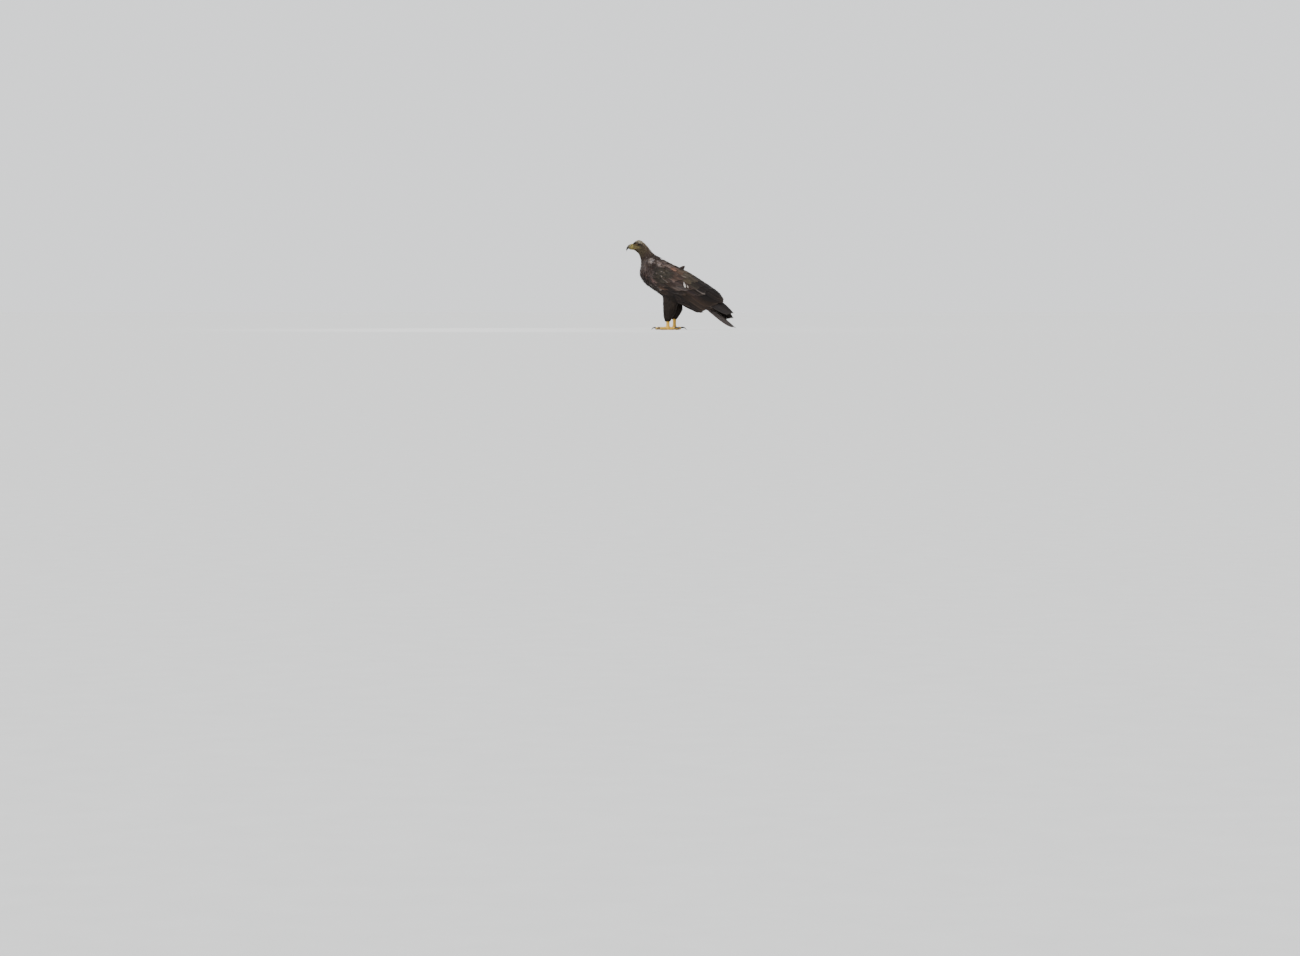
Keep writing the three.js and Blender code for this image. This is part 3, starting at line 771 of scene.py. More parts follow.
contour_vane = vane_material("contour_vane", 0.75, 1.0, 0.66, 0.07)
fine_vane = vane_material("fine_vane", 0.45, 0.9, 0.72, 0.0, base=0.7)
covert_vane = vane_material("covert_vane", 0.8, 0.75, 0.64, 0.09)
flight_vane = vane_material("flight_vane", 0.9, 0.35, 0.50, 0.40)
tail_vane = vane_material("tail_vane", 0.9, 0.4, 0.54, 0.35, mottled=0.4)

# ---------------------------------------------------------------- skin

VOXEL = 4.0
SOFTENING = 6
SHELL_THICK, SHELL_FULL = 8, 15  # the wing's thickness at its rims, and what its middle adds
SOCKET = {"room": 9.4, "deep": 4.2}  # the hollow for an eye: its radius and how far out its floor is


def eye_offsets(points):
    """How far points are from the nearer eye's line of sight, and how far out along it."""
    mirrored = np.concatenate([np.abs(points[..., :1]), points[..., 1:]], -1) - EYE_AT
    gaze = unit(EYE_GAZE)
    ahead = (mirrored * gaze).sum(-1)
    return np.linalg.norm(mirrored - ahead[..., None] * gaze, axis=-1), ahead


def wing_shell(side):
    """A closed shell under the wing's coverts."""
    u, k = mesh_grid(np.linspace(0.004, ARM_END, 60), np.linspace(0.03, 0.95, 40))
    outer = wing_point(u, k, side)
    _, _, normal = slopes(wing_point, u, k, side)
    inset = wing_depth(u)[..., None]
    full = (1 - smooth(0.3, ARM_END, u)) * np.sin(np.pi * k) ** 0.6 * np.minimum(1, 0.3 + 6 * u)
    depth = SHELL_THICK + SHELL_FULL * full
    face = outer - normal * inset
    back = outer - normal * (inset + depth[..., None])
    return tube_mesh(np.concatenate([face, back[:, ::-1]], 1))


def make_skin():
    """Body, thighs, wings and brows under their coat, joined into one mesh with hollows for the eyes."""
    t, a = tube_grid(150, 72)
    parts = [tube_mesh(body_point(t, a, coat_at(t)[..., 0]))]
    s, b = tube_grid(40, 36)
    for side in SIDES.values():
        inset = THIGH_DEPTH * smooth(-0.1, 0.3, s) * (1 - 0.3 * s)
        parts.append(tube_mesh(thigh_point(s, b, side, inset)))
        parts.append(wing_shell(side))
        brow = turned(ball() * BROW_SIZE, BROW_PITCH, side * BROW_YAW)
        parts.append(tube_mesh(brow + BROW_AT * (side, 1, 1)))
    skin = new_object("skin", *joined(parts))
    remesh = skin.modifiers.new("join", "REMESH")
    remesh.mode = "VOXEL"
    remesh.voxel_size = VOXEL / 1000
    remesh.use_smooth_shade = True
    soften = skin.modifiers.new("soften", "SMOOTH")
    soften.iterations = SOFTENING
    mesh = bpy.data.meshes.new_from_object(skin.evaluated_get(bpy.context.evaluated_depsgraph_get()))
    skin.modifiers.clear()
    skin.data = mesh
    mesh.name = "skin"
    points = points_of(skin)
    away, ahead = eye_offsets(points)
    push = np.maximum(ahead - SOCKET["deep"], 0) * (1 - smooth(0.8, 1.1, away / SOCKET["room"]))
    gaze = unit(EYE_GAZE) * np.stack([np.sign(points[:, 0]), 0 * ahead + 1, 0 * ahead + 1], -1)
    points = np.where((ahead > 0)[:, None], points - gaze * push[:, None], points)
    mesh.vertices.foreach_set("co", to_frame(points).astype(np.float32).ravel())
    mesh.update()
    return skin


def unwrap(piece, name):
    """Unfolds a piece's own shape into a UV map."""
    piece.data.uv_layers.new(name=name)
    bpy.context.view_layer.objects.active = piece
    piece.select_set(True)
    bpy.ops.object.mode_set(mode="EDIT")
    bpy.ops.mesh.select_all(action="SELECT")
    bpy.ops.uv.smart_project(angle_limit=math.radians(66), island_margin=0.002)
    bpy.ops.object.mode_set(mode="OBJECT")
    piece.select_set(False)


class Surface:
    """The skin as a surface that feathers are laid on."""

    def __init__(self, piece):
        mesh = piece.data
        self.points = points_of(piece)
        self.quads = numbers_of(mesh.loops, "vertex_index", 1, np.int32).reshape(-1, 4)
        self.normals = numbers_of(mesh.vertices, "normal", 3).astype(float)
        self.tree = BVHTree.FromPolygons(self.points.tolist(), self.quads.tolist())
        self.face_uv = numbers_of(mesh.uv_layers["OFBake"].data, "uv", 2).reshape(-1, 4, 2).mean(1)

    def nearest(self, points):
        """The closest places on the skin: points, normals and faces."""
        found = [self.tree.find_nearest(p) for p in points.reshape(-1, 3).tolist()]
        face = np.array([hit[2] for hit in found])
        where = np.array([tuple(hit[0]) for hit in found])
        normal = unit(self.normals[self.quads[face]].mean(1))
        return where.reshape(points.shape), normal.reshape(points.shape), face.reshape(points.shape[:-1])

    def corners(self, faces):
        return [self.points[self.quads[faces, k]] for k in range(4)]

    def areas(self):
        a, b, c, d = self.corners(slice(None))
        return np.linalg.norm(np.cross(c - a, d - b), axis=1) / 2

    def scattered(self, count, weight):
        """Random places on the skin, denser where a face's weight is greater."""
        chance = self.areas() * weight
        face = random.choice(len(self.quads), count, p=chance / chance.sum())
        u, v = random.random((2, count, 1))
        a, b, c, d = self.corners(face)
        return (a * (1 - u) + b * u) * (1 - v) + (d * (1 - u) + c * u) * v


skin = make_skin()
unwrap(skin, "OFBake")
surface = Surface(skin)
set_colour(skin, "tint", markings(surface.points))
skin.data.materials.append(skin_material())
finished(skin, "plumage", "head", "neck", "trunk", "thigh_left", "thigh_right", "wing_left", "wing_right")

# ---------------------------------------------------------------- the lie of the coat

ON_BODY, ON_WING, ON_THIGH = 0, 1, 2
NEIGHBOURS = 5  # guide points that are blended


class Lie:
    """Which way feathers lie and how big they are, from guide points on the body, wings and thighs."""

    def __init__(self):
        t, a = tube_grid(160, 80)
        coat = coat_at(t)
        along = tangent(lambda moved: body_point(moved, a), t)
        rows = [self.guide(body_point(t, a, coat[..., 0]), along, ON_BODY, t, a, coat)]
        u, k = mesh_grid(np.linspace(0, ARM_END, 70), np.linspace(0.0, 1, 45))
        s, b = tube_grid(50, 48)
        for side in SIDES.values():
            along, _, normal = slopes(wing_point, u, k, side)
            coat = wing_coat(u)
            points = wing_point(u, k, side) - normal * coat[..., :1]
            rows.append(self.guide(points, along, ON_WING, u, k, coat))
            along, _, _ = slopes(thigh_point, s, b, side)
            points = thigh_point(s, b, side, THIGH_DEPTH)
            rows.append(self.guide(points, along, ON_THIGH, s, b, thigh_coat(s)))
        self.rows = np.concatenate(rows)
        self.tree = kd_tree(self.rows[:, :3])

    @staticmethod
    def guide(points, along, kind, a, b, coat):
        labels = np.stack([0 * a + kind, a, b], -1)
        return np.concatenate([points, along, labels, coat], -1).reshape(-1, 14)

    def at(self, points):
        """Direction (n, 3), labels (kind, first and second parameter) and coat numbers at points."""
        found = [self.tree.find_n(p, NEIGHBOURS) for p in points.tolist()]
        index = np.array([[hit[1] for hit in hits] for hits in found])
        far = np.array([[hit[2] for hit in hits] for hits in found])
        weight = 1 / (far + 1)
        weight /= weight.sum(1, keepdims=True)
        rows = self.rows[index]
        blended = (rows * weight[..., None]).sum(1)
        return unit(blended[:, 3:6]), rows[:, 0, 6:9], blended[:, 9:]


lie = Lie()
_, face_labels, face_coat = lie.at(surface.points[surface.quads].mean(1))

# ---------------------------------------------------------------- feathers

RING = np.array([-1, -0.5, 0, 0.5, 1, 0])  # across a feather; the last is on its underside
AROUND, TOP = len(RING), len(RING) - 1
CAMBER = 0.16  # how far a feather's edges drop, over its half width
PATCH = 0.003  # size of one feather on the baking map


def outline(s, point):
    """Half width of a feather along its length over its greatest, round or pointed at the tip."""
    s, point = np.broadcast_arrays(s, point)
    fullest = 0.62 - 0.24 * point
    x = np.clip((s - fullest) / (1 - fullest), 0, 1)
    tip = np.maximum(1 - x ** (2.4 - 1.1 * point), 0) ** (0.5 + 0.5 * point)
    return np.maximum((0.35 + 0.65 * smooth(0, 0.45, s)) * tip, 0.05)


def ring_places(n, rings):
    """Places of n feathers' rings along them, closer together at the tip."""
    places = 1 - (1 - np.linspace(0, 1, rings)) ** 1.5
    return np.broadcast_to(places, (n, rings)).copy()


def lengths(centre):
    """Lengths of lines through points (n, rings, 3)."""
    return np.linalg.norm(np.diff(centre, axis=1), axis=-1).sum(1)


class Plumage:
    """Feathers gathered for one piece. Each is a thin closed vane of rings of six points."""

    def __init__(self):
        self.batches = []

    def add(self, top, under, places, length, half, root_uv, tint, fringe):
        """Takes n feathers: top (n, rings, 5, 3), under (n, rings, 3), places and half (n, rings).

        Without root_uv they lie side by side in strips over the whole baking map.
        """
        n, rings = top.shape[:2]
        shape = (n, rings, AROUND)
        points = np.concatenate([top, under[:, :, None]], 2)
        chance = np.broadcast_to(random.random((n, 1, 1)), shape)
        s, w = np.broadcast_to(places[..., None], shape), np.broadcast_to(RING, shape)
        flow = np.stack([w * half[..., None], s * length[:, None, None], chance], -1)
        vane = np.stack([w, s, np.broadcast_to(fringe[:, None, None], shape)], -1)
        below = np.arange(AROUND) == TOP
        local = np.stack([0 * s + np.where(below, 0.35, RING / 2), s - 0.5 + 0.04 * below], -1)
        if root_uv is None:
            column = (np.arange(n)[:, None, None, None] + 0.5) / n
            uv = np.concatenate([column + local[..., :1] * 0.9 / n, local[..., 1:] * 0.94 + 0.5], -1)
        else:
            uv = local * PATCH + root_uv[:, None, None]
        colour = np.broadcast_to(tint.reshape(n, -1, 1, 3), (*shape, 3))
        self.batches.append((points, flow, vane, uv, colour))

    def build(self, name, material, slot="plumage", *nodes):
        """One piece of all the feathers taken, with sharp rims."""
        parts, data = [], [[], [], [], []]
        for points, *rest in self.batches:
            n, rings = points.shape[:2]
            last = (rings - 1) * AROUND
            ends = [(5, 2, 1, 0), (5, 4, 3, 2), (last, last + 1, last + 2, last + 5),
                    (last + 2, last + 3, last + 4, last + 5)]
            one = np.concatenate([grid_quads(rings, AROUND, True), ends])
            quads = one[None] + (np.arange(n) * rings * AROUND)[:, None, None]
            parts.append((points.reshape(-1, 3), quads.reshape(-1, 4)))
            for store, values in zip(data, rest):
                store.append(values.reshape(-1, values.shape[-1]))
        piece = new_object(name, *joined(parts))
        flow, vane, uv, colour = (np.concatenate(store) for store in data)
        set_vector(piece, "flow", flow)
        set_vector(piece, "vane", vane)
        set_colour(piece, "tint", colour)
        set_uv(piece, "OFBake", uv)
        lane = numbers_of(piece.data.edges, "vertices", 2, np.int32) % AROUND
        rim = (lane[:, 0] == lane[:, 1]) & ((lane[:, 0] == 0) | (lane[:, 0] == TOP - 1))
        piece.data.attributes.new("sharp_edge", "BOOLEAN", "EDGE").data.foreach_set("value", rim)
        piece.data.materials.append(material)
        finished(piece, slot, *nodes)


def spaced(points, reach):
    """Picks points in turn that keep their reach from those picked before."""
    cell = float(reach.max())
    grid = {}
    kept = []
    steps = [(i, j, k) for i in (-1, 0, 1) for j in (-1, 0, 1) for k in (-1, 0, 1)]
    cells = np.floor(points / cell).astype(int).tolist()
    for index, (key, p, limit) in enumerate(zip(cells, points.tolist(), (reach**2).tolist())):
        near = [q for i, j, k in steps for q in grid.get((key[0] + i, key[1] + j, key[2] + k), ())]
        if all((p[0] - q[0]) ** 2 + (p[1] - q[1]) ** 2 + (p[2] - q[2]) ** 2 >= limit for q in near):
            grid.setdefault(tuple(key), []).append(p)
            kept.append(index)
    return np.array(kept)


LOOSE_FROM, LOOSE_TO = 9.0, 17.0  # a feather this far off the skin no longer follows it
LENGTH_RANGE, WIDTH_RANGE = (0.85, 1.2), (0.88, 1.14)
# How uneven the coat is: feathers' direction, their tips' edges, sideways bend, lift and roll.
TWIST, RAGGED, BEND, RUFFLE, ROLL = 0.13, 0.035, 0.10, 0.07, 0.10


def lay(plumage, roots, along, coat, rings, tint, fringe):
    """Lays feathers on the skin from their roots, each following it and rising towards its tip."""
    n = len(roots)
    depth, spacing, ratio, slender, point = coat.T
    length = spacing * ratio * random.uniform(*LENGTH_RANGE, n)
    half_width = spacing * slender * random.uniform(*WIDTH_RANGE, n)
    _, normal, face = surface.nearest(roots)
    along = unit(along - normal * (along * normal).sum(1, keepdims=True))
    along = unit(along + np.cross(along, normal) * random.normal(0, TWIST, (n, 1)))
    side = np.cross(along, normal)
    places = ring_places(n, rings)
    half = half_width[:, None] * outline(places, point[:, None])
    w = RING[:TOP]
    ragged = random.normal(0, RAGGED, (n, 1, TOP)) * smooth(0.55, 1, places)[..., None]
    reach = length[:, None, None] * (places[..., None] + ragged)
    bend = random.normal(0, BEND, (n, 1, 1)) * places[..., None] ** 2 * length[:, None, None]
    flat = roots[:, None, None] + along[:, None, None] * reach[..., None]
    flat = flat + side[:, None, None] * (w * half[..., None] + bend)[..., None]
    where, out, _ = surface.nearest(flat)
    far = np.linalg.norm(flat - where, axis=-1, keepdims=True)
    free = smooth(LOOSE_FROM, LOOSE_TO, far)
    base = where * (1 - free) + flat * free
    out = unit(out * (1 - free) + normal[:, None, None] * free)
    rise = -0.6 + (depth[:, None] * 0.96 + 0.4) * places**0.85
    rise = rise + random.normal(0, RUFFLE, (n, 1)) * depth[:, None] * places
    camber = CAMBER * half[..., None] * w**2
    roll = random.normal(0, ROLL, (n, 1, 1)) * half[..., None] * w * places[..., None]
    top = base + out * (rise[..., None] - camber + roll)[..., None]
    thick = np.minimum(0.5, 0.09 * half_width)[:, None, None]
    under = top[:, :, 2] - out[:, :, 2] * thick
    widest = np.linalg.norm(top[:, :, TOP - 1] - top[:, :, 0], axis=-1).max(1)
    stride = np.linalg.norm(np.diff(top, axis=1), axis=-1).max((1, 2))
    whole = (widest < 3 * half_width) & (stride < 0.75 * length)
    values = (top, under, places, length, half, surface.face_uv[face], tint, fringe)
    plumage.add(*(value[whole] for value in values))


covers = []  # middles and half widths of the long feathers, which hide what grows under them
COVER_SHARE, COVER_ROOM = 0.7, 8.0  # share of the half width that hides, and mm more for its height


def uncovered(points):
    """True for places on the skin that no long feather hides."""
    middles = np.concatenate([cover[0] for cover in covers])
    reach = np.concatenate([cover[1] for cover in covers])
    tree = kd_tree(middles)
    found = [tree.find(p)[1:] for p in points.tolist()]
    index = np.array([hit[0] for hit in found])
    far = np.array([hit[1] for hit in found])
    return far > COVER_SHARE * reach[index] + COVER_ROOM


ROW_RAGGED, ROW_ROLL, ROW_BEND = 0.012, 0.03, 0.02  # how uneven long feathers are
FRINGE_RANGE = (0.1, 1.2)


def row(plumage, function, side, root, tip, half, low, high, rings=12, point=0.1, roll=0.0, fringe=0.3,
        spread=0.2, share=0.0, tint=None, thick=0.8, strips=False):
    """Lays feathers over a surface from root to tip, each a place (first, second parameter) of it.

    half is half the width, low and high are each root's and tip's height over the surface, and roll
    lifts the edge nearer the hem. tint, or else the markings, gives the colour, with each feather's
    tone spread and a share of them faded. strips marks long feathers, coloured and unwrapped at
    their full length.
    """
    root, tip = np.asarray(root, float), np.asarray(tip, float)
    n = len(root)
    half, low, high = (np.broadcast_to(value, n).astype(float) for value in (half, low, high))
    places = ring_places(n, rings)
    at = root[:, None] + (tip - root)[:, None] * places[..., None]
    centre = function(at[..., 0], at[..., 1], side)
    _, _, normal = slopes(function, at[..., 0], at[..., 1], side)
    along = unit(np.gradient(centre, axis=1))
    across = np.cross(along, normal)
    length = lengths(centre)
    wide = half[:, None] * outline(places, point)
    w = RING[:TOP]
    ragged = random.normal(0, ROW_RAGGED, (n, 1, TOP)) * smooth(0.7, 1, places)[..., None]
    ragged = ragged * length[:, None, None]
    height = low[:, None] + (high - low)[:, None] * places
    lift = height[..., None] - CAMBER * wide[..., None] * w**2
    lift = lift + (roll * side + random.normal(0, ROW_ROLL, (n, 1, 1))) * wide[..., None] * w
    bend = random.normal(0, ROW_BEND, (n, 1)) * places**2 * length[:, None]
    top = centre[:, :, None] + across[:, :, None] * (w * wide[..., None] + bend[..., None])[..., None]
    top = top + normal[:, :, None] * lift[..., None] + along[:, :, None] * ragged[..., None]
    under = top[:, :, 2] - normal * thick
    if tint is not None:
        colour = np.broadcast_to(tint, centre.shape)
    elif strips:
        colour = markings(centre)
    else:
        strayed = centre[:, 3 * rings // 4] + random.normal(0, WANDER, (n, 3))
        colour = np.broadcast_to(markings(strayed)[:, None], centre.shape)
    colour = toned(colour, spread, share)
    fringes = fringe * random.uniform(*FRINGE_RANGE, n)
    uv = None if strips else surface.face_uv[surface.nearest(centre[:, 0])[2]]
    inner = slice(rings // 4, rings - 2)
    covers.append((centre[:, inner].reshape(-1, 3), wide[:, inner].ravel()))
    plumage.add(top, under, places, length, wide, uv, colour, fringes)


# ---------------------------------------------------------------- coat

FACE_END, HEAD_END, NECK_END = 0.18, 0.30, 0.46
ROOT_GAP = 0.8  # least distance between roots, over the coat's spacing
EYE_CLEAR, EYE_CLEAR_LESS = 9.4, 1.4  # roots keep this far from the line of sight, and less behind the eye
BACK_EDGE = 0.1  # how high round the body, as a sine, the back's feathers begin
MANTLE_FROM, MANTLE_TO, MANTLE_EDGE = 0.53, 0.93, 0.6  # the stretch of the back that is hidden
COVERT_HEM, COVERT_SPAN = 0.96, 0.68  # where a row of coverts starts at the hem, and how far up it goes
LESSER_END = (0.125, 0.44)  # where the small coverts end, at the hem and at the back


def scatter_roots(kind, low, high, candidates):
    """Roots on one kind of surface whose first parameter is between low and high."""
    inside = (face_labels[:, 0] == kind) & (face_labels[:, 1] >= low) & (face_labels[:, 1] < high)
    places = surface.scattered(candidates, inside / face_coat[:, 1] ** 2)
    along, labels, coat = lie.at(places)
    away, ahead = eye_offsets(places)
    clear = EYE_CLEAR - EYE_CLEAR_LESS * smooth(-200, -192, places[:, 1])
    keep = (labels[:, 0] == kind) & ((away > clear) | (ahead < 0))
    places, along, labels, coat = places[keep], along[keep], labels[keep], coat[keep]
    kept = spaced(places, coat[:, 1] * ROOT_GAP)
    return places[kept], along[kept], labels[kept], coat[kept]


def covert_tips(near, far, f):
    """Places of the tips of a row of coverts, from the wing's hem (f 0) to the back (f 1)."""
    return np.stack([near + (far - near) * f, COVERT_HEM - COVERT_SPAN * f**1.05], -1)


def coat_piece(name, material, kind, low, high, candidates, rings, spread, share, fringe, choose=None):
    """Feathers over a stretch of one kind of surface, where choose is true and no long feather lies."""
    roots, along, labels, coat = scatter_roots(kind, low, high, candidates)
    keep = uncovered(roots)
    if choose is not None:
        keep &= choose(labels)
    roots, along, coat = roots[keep], along[keep], coat[keep]
    plumage = Plumage()
    tint = toned(markings(roots + random.normal(0, WANDER, roots.shape)), spread, share)
    lay(plumage, roots, along, coat, rings, tint, random.uniform(0.05, fringe, len(roots)))
    plumage.build(name, material)


def on_back(labels):
    """True on the back, short of what the mantle and the wings hide."""
    place, high = labels[:, 1], np.sin(labels[:, 2])
    hidden = (place > MANTLE_FROM) & (place < MANTLE_TO) & (high > MANTLE_EDGE)
    return (high > BACK_EDGE) & ~hidden


def on_breast(labels):
    """True below the body's sides."""
    return np.sin(labels[:, 2]) <= BACK_EDGE


def before_rows(labels):
    """True on the wing in front of its rows of coverts."""
    f = np.clip((COVERT_HEM - labels[:, 2]) / COVERT_SPAN, 0, 1)
    return labels[:, 1] < LESSER_END[0] + (LESSER_END[1] - LESSER_END[0]) * f


# The coat in pieces: name, material, surface, its first parameter's range, candidates, rings of a
# feather, spread of tone, share of faded feathers, greatest fringe and where they grow.
COAT_PIECES = (
    ("coat_face", fine_vane, ON_BODY, 0, FACE_END, 60000, 5, 0.16, 0.01, 0.15),
    ("coat_nape", fine_vane, ON_BODY, FACE_END, HEAD_END, 34000, 6, 0.18, 0.03, 0.2),
    ("coat_neck", contour_vane, ON_BODY, HEAD_END, NECK_END, 24000, 7, 0.20, 0.06, 0.4),
    ("coat_back", contour_vane, ON_BODY, NECK_END, 1.01, 20000, 8, 0.2, 0.10, 0.5, on_back),
    ("coat_breast", contour_vane, ON_BODY, NECK_END, 1.01, 20000, 8, 0.2, 0.05, 0.4, on_breast),
    ("coverts_lesser", covert_vane, ON_WING, 0, 0.5, 22000, 8, 0.2, 0.07, 0.55, before_rows),
    ("coat_thighs", contour_vane, ON_THIGH, 0, 1.01, 26000, 7, 0.2, 0.0, 0.35),
)

# ---------------------------------------------------------------- wings and tail

SECONDARIES, TERTIALS = 18, 7
FLIGHT_RINGS = 26
# Rows of coverts: how many, the tips' u at the hem and at the back, length in u, half width, and the
# heights of root and tip over the wing's outer face.
COVERT_ROWS = (
    (18, 0.365, 0.75, 0.19, 14.5, -8.8, -4.2),
    (21, 0.29, 0.655, 0.14, 12.0, -7.8, -3.3),
    (24, 0.228, 0.565, 0.115, 10.2, -6.8, -2.4),
    (27, 0.172, 0.485, 0.095, 9.0, -6.2, -1.5),
)
HEM_COVERTS = 11
HEM_ROWS = ((0.0, -4.2), (0.055, -3.2))  # how far forward and in from the hem, height of the tips
SCAPULAR_LANES = 5
# White feathers out of place on the left wing: root's and tip's y and z, half width and colour.
LOOSE_WHITE = (
    ((82, 288), (90, 252), 5.2, WHITE),
    ((101, 272), (108, 248), 3.6, (0.30, 0.25, 0.20)),
)


def on_wing(y, z):
    """The place on the wing's outer face that shows at y, z from the side."""
    u, k = mesh_grid(np.linspace(0, 1, 301), np.linspace(0.02, 1, 201))
    points = wing_point(u, k)
    best = np.hypot(points[..., 1] - y, points[..., 2] - z).argmin()
    return u.flat[best], k.flat[best]


def flight_feathers(side):
    """Secondaries from the hem to the wing's end, and tertials over them next to the back."""
    plumage = Plumage()
    f = np.linspace(0, 1, SECONDARIES)
    tip = np.stack([0.61 + 0.385 * f**0.85, 0.985 - 0.50 * f**1.4], -1)
    root = np.stack([0.22 + 0.34 * f, 0.95 - 0.62 * f], -1)
    row(plumage, wing_point, side, root, tip, 20 - 3 * f, -9.5, -6.5 + 3.5 * f, rings=FLIGHT_RINGS,
        point=0.15, roll=0.16, fringe=0.55, spread=0.14, strips=True)
    f = np.linspace(0, 1, TERTIALS)
    tip = np.stack([0.99 - 0.06 * f, 0.44 - 0.36 * f], -1)
    root = np.stack([0.56 - 0.04 * f, 0.28 - 0.22 * f], -1)
    row(plumage, wing_point, side, root, tip, 18.5, -6.0, -2.4 + 1.6 * f, rings=FLIGHT_RINGS,
        point=0.2, roll=0.14, fringe=0.5, spread=0.14, strips=True)
    return plumage


def add_scapulars(plumage, side):
    """Lanes of feathers from the shoulder back along the wing's upper edge, longer towards its end."""
    for lane in range(SCAPULAR_LANES):
        count = 11 - lane
        f = np.linspace(0, 1, count)
        size = f**1.1
        u = 0.12 + 0.035 * lane + (0.64 - 0.055 * lane) * f + random.normal(0, 0.008, count)
        k = 0.0 + 0.072 * lane + 0.05 * f + random.normal(0, 0.006, count)
        tip = np.stack([u, k + 0.03], -1)
        root = np.stack([u - 0.07 - 0.115 * size, k - 0.03], -1)
        row(plumage, wing_point, side, root, tip, 9 + 9 * size, -4.5 - 0.5 * lane, 1.0 - 0.6 * lane,
            rings=14, point=0.08, fringe=0.5, spread=0.24, share=0.04, roll=0.06)


def covert_feathers(side):
    """Rows of coverts over the wing, along its hem and beside the back."""
    plumage = Plumage()
    for count, near, far, length, half, low, high in COVERT_ROWS:
        f = np.linspace(0, 1, count) + random.normal(0, 0.12 / count, count)
        tip = covert_tips(near, far, np.clip(f, 0, 1)) + random.normal(0, 0.004, (count, 2))
        row(plumage, wing_point, side, tip - (length, 0.025), tip, half, low, high, rings=13, point=0.06,
            roll=0.14, fringe=0.5, spread=0.24, share=0.04)
    f = np.linspace(0, 1, HEM_COVERTS)
    for inward, high in HEM_ROWS:
        tip = np.stack([0.24 + 0.38 * f - inward, 0.985 - inward + 0 * f], -1)
        row(plumage, wing_point, side, tip - (0.13, 0.02), tip, 9.0, -7.0, high, point=0.3, roll=0.1,
            fringe=0.35, share=0.05)
    add_scapulars(plumage, side)
    if side == LEFT:
        for root, tip, half, shade in LOOSE_WHITE:
            row(plumage, wing_point, side, [on_wing(*root)], [on_wing(*tip)], half, -2.6, 0.2, rings=13,
                point=0.3, roll=0.1, fringe=0.1, spread=0.05, tint=shade, thick=0.5)
    return plumage


def make_wing(label, side):
    """A wing's feathers; the flight feathers take their random numbers before the coverts."""
    flight = flight_feathers(side)
    covert_feathers(side).build("coverts_" + label, covert_vane)
    flight.build("flight_" + label, flight_vane, "flight_feathers")


BACK_LANES = (-1, -0.34, 0.34, 1)  # lines of the mantle across the back
BACK_ROW, RIDGE_ROW = 15, 13  # feathers in each of them, and over the wings' meeting


def make_mantle():
    """Feathers down the middle of the back, on the body between the wings and then over their meeting."""
    plumage = Plumage()
    f = np.linspace(0, 1, BACK_ROW)
    for lane in BACK_LANES:
        step = f + 0.25 / BACK_ROW * (abs(lane) < 0.5)
        across = lane * (0.42 - 0.30 * step) + random.normal(0, 0.012, BACK_ROW)
        tip = np.stack([0.485 + 0.40 * step, across], -1)
        root = np.stack([0.45 + 0.34 * step, across * 0.9], -1)
        row(plumage, back_point, LEFT, root, tip, 11 + 5 * f, -8.0, -0.8, point=0.12, fringe=0.45,
            share=0.06)
    f = np.linspace(0, 1, RIDGE_ROW)
    across = np.where(np.arange(RIDGE_ROW) % 2, 0.3, -0.3)
    tip = np.stack([0.40 + 0.50 * f, across], -1)
    root = np.stack([0.27 + 0.45 * f, across * 0.6], -1)
    row(plumage, ridge_point, LEFT, root, tip, 13 + 3 * f, -5.0, 1.2, rings=14, point=0.12, fringe=0.5,
        share=0.05)
    plumage.build("mantle", covert_vane)


def make_primaries(label, side):
    """Long blades past the folded arm; the longest lies innermost and each next one outside it."""
    plumage = Plumage()
    f = np.linspace(0, 1, PRIMARIES)[:, None]
    ends = {}
    for end in ("root", "tip"):
        first, last = np.array(LONGEST[end], float), np.array(SHORTEST[end], float)
        ends[end] = first + (last - first) * f
    if side == RIGHT:
        ends["tip"][:, 2] -= RIGHT_TIPS_DROP
    half = LONGEST["half"] + (SHORTEST["half"] - LONGEST["half"]) * f[:, 0]
    places = ring_places(PRIMARIES, FLIGHT_RINGS)
    centre = ends["root"][:, None] + (ends["tip"] - ends["root"])[:, None] * places[..., None]
    for axis in (0, 2):
        centre[..., axis] += PRIMARY_BOW * np.sin(np.pi * places)
    centre = centre * (side, 1, 1)
    along = unit(np.gradient(centre, axis=1))
    across = unit(np.cross(along, (side, 0, PRIMARY_LEAN)))
    normal = np.cross(across, along)
    wide = half[:, None] * outline(places, PRIMARY_POINT)
    w = RING[:TOP]
    lift = -PRIMARY_CAMBER * wide[..., None] * w**2
    top = centre[:, :, None] + across[:, :, None] * (w * wide[..., None])[..., None]
    top = top + normal[:, :, None] * lift[..., None]
    under = top[:, :, 2] - normal * PRIMARY_THICK
    colour = toned(np.broadcast_to(PRIMARY_COLOUR, centre.shape).copy(), 0.12, 0)
    fringe = random.uniform(0.15, 0.5, PRIMARIES)
    plumage.add(top, under, places, lengths(centre), wide, None, colour, fringe)
    plumage.build("primaries_" + label + "_vanes", flight_vane, "flight_feathers", "primaries_" + label)


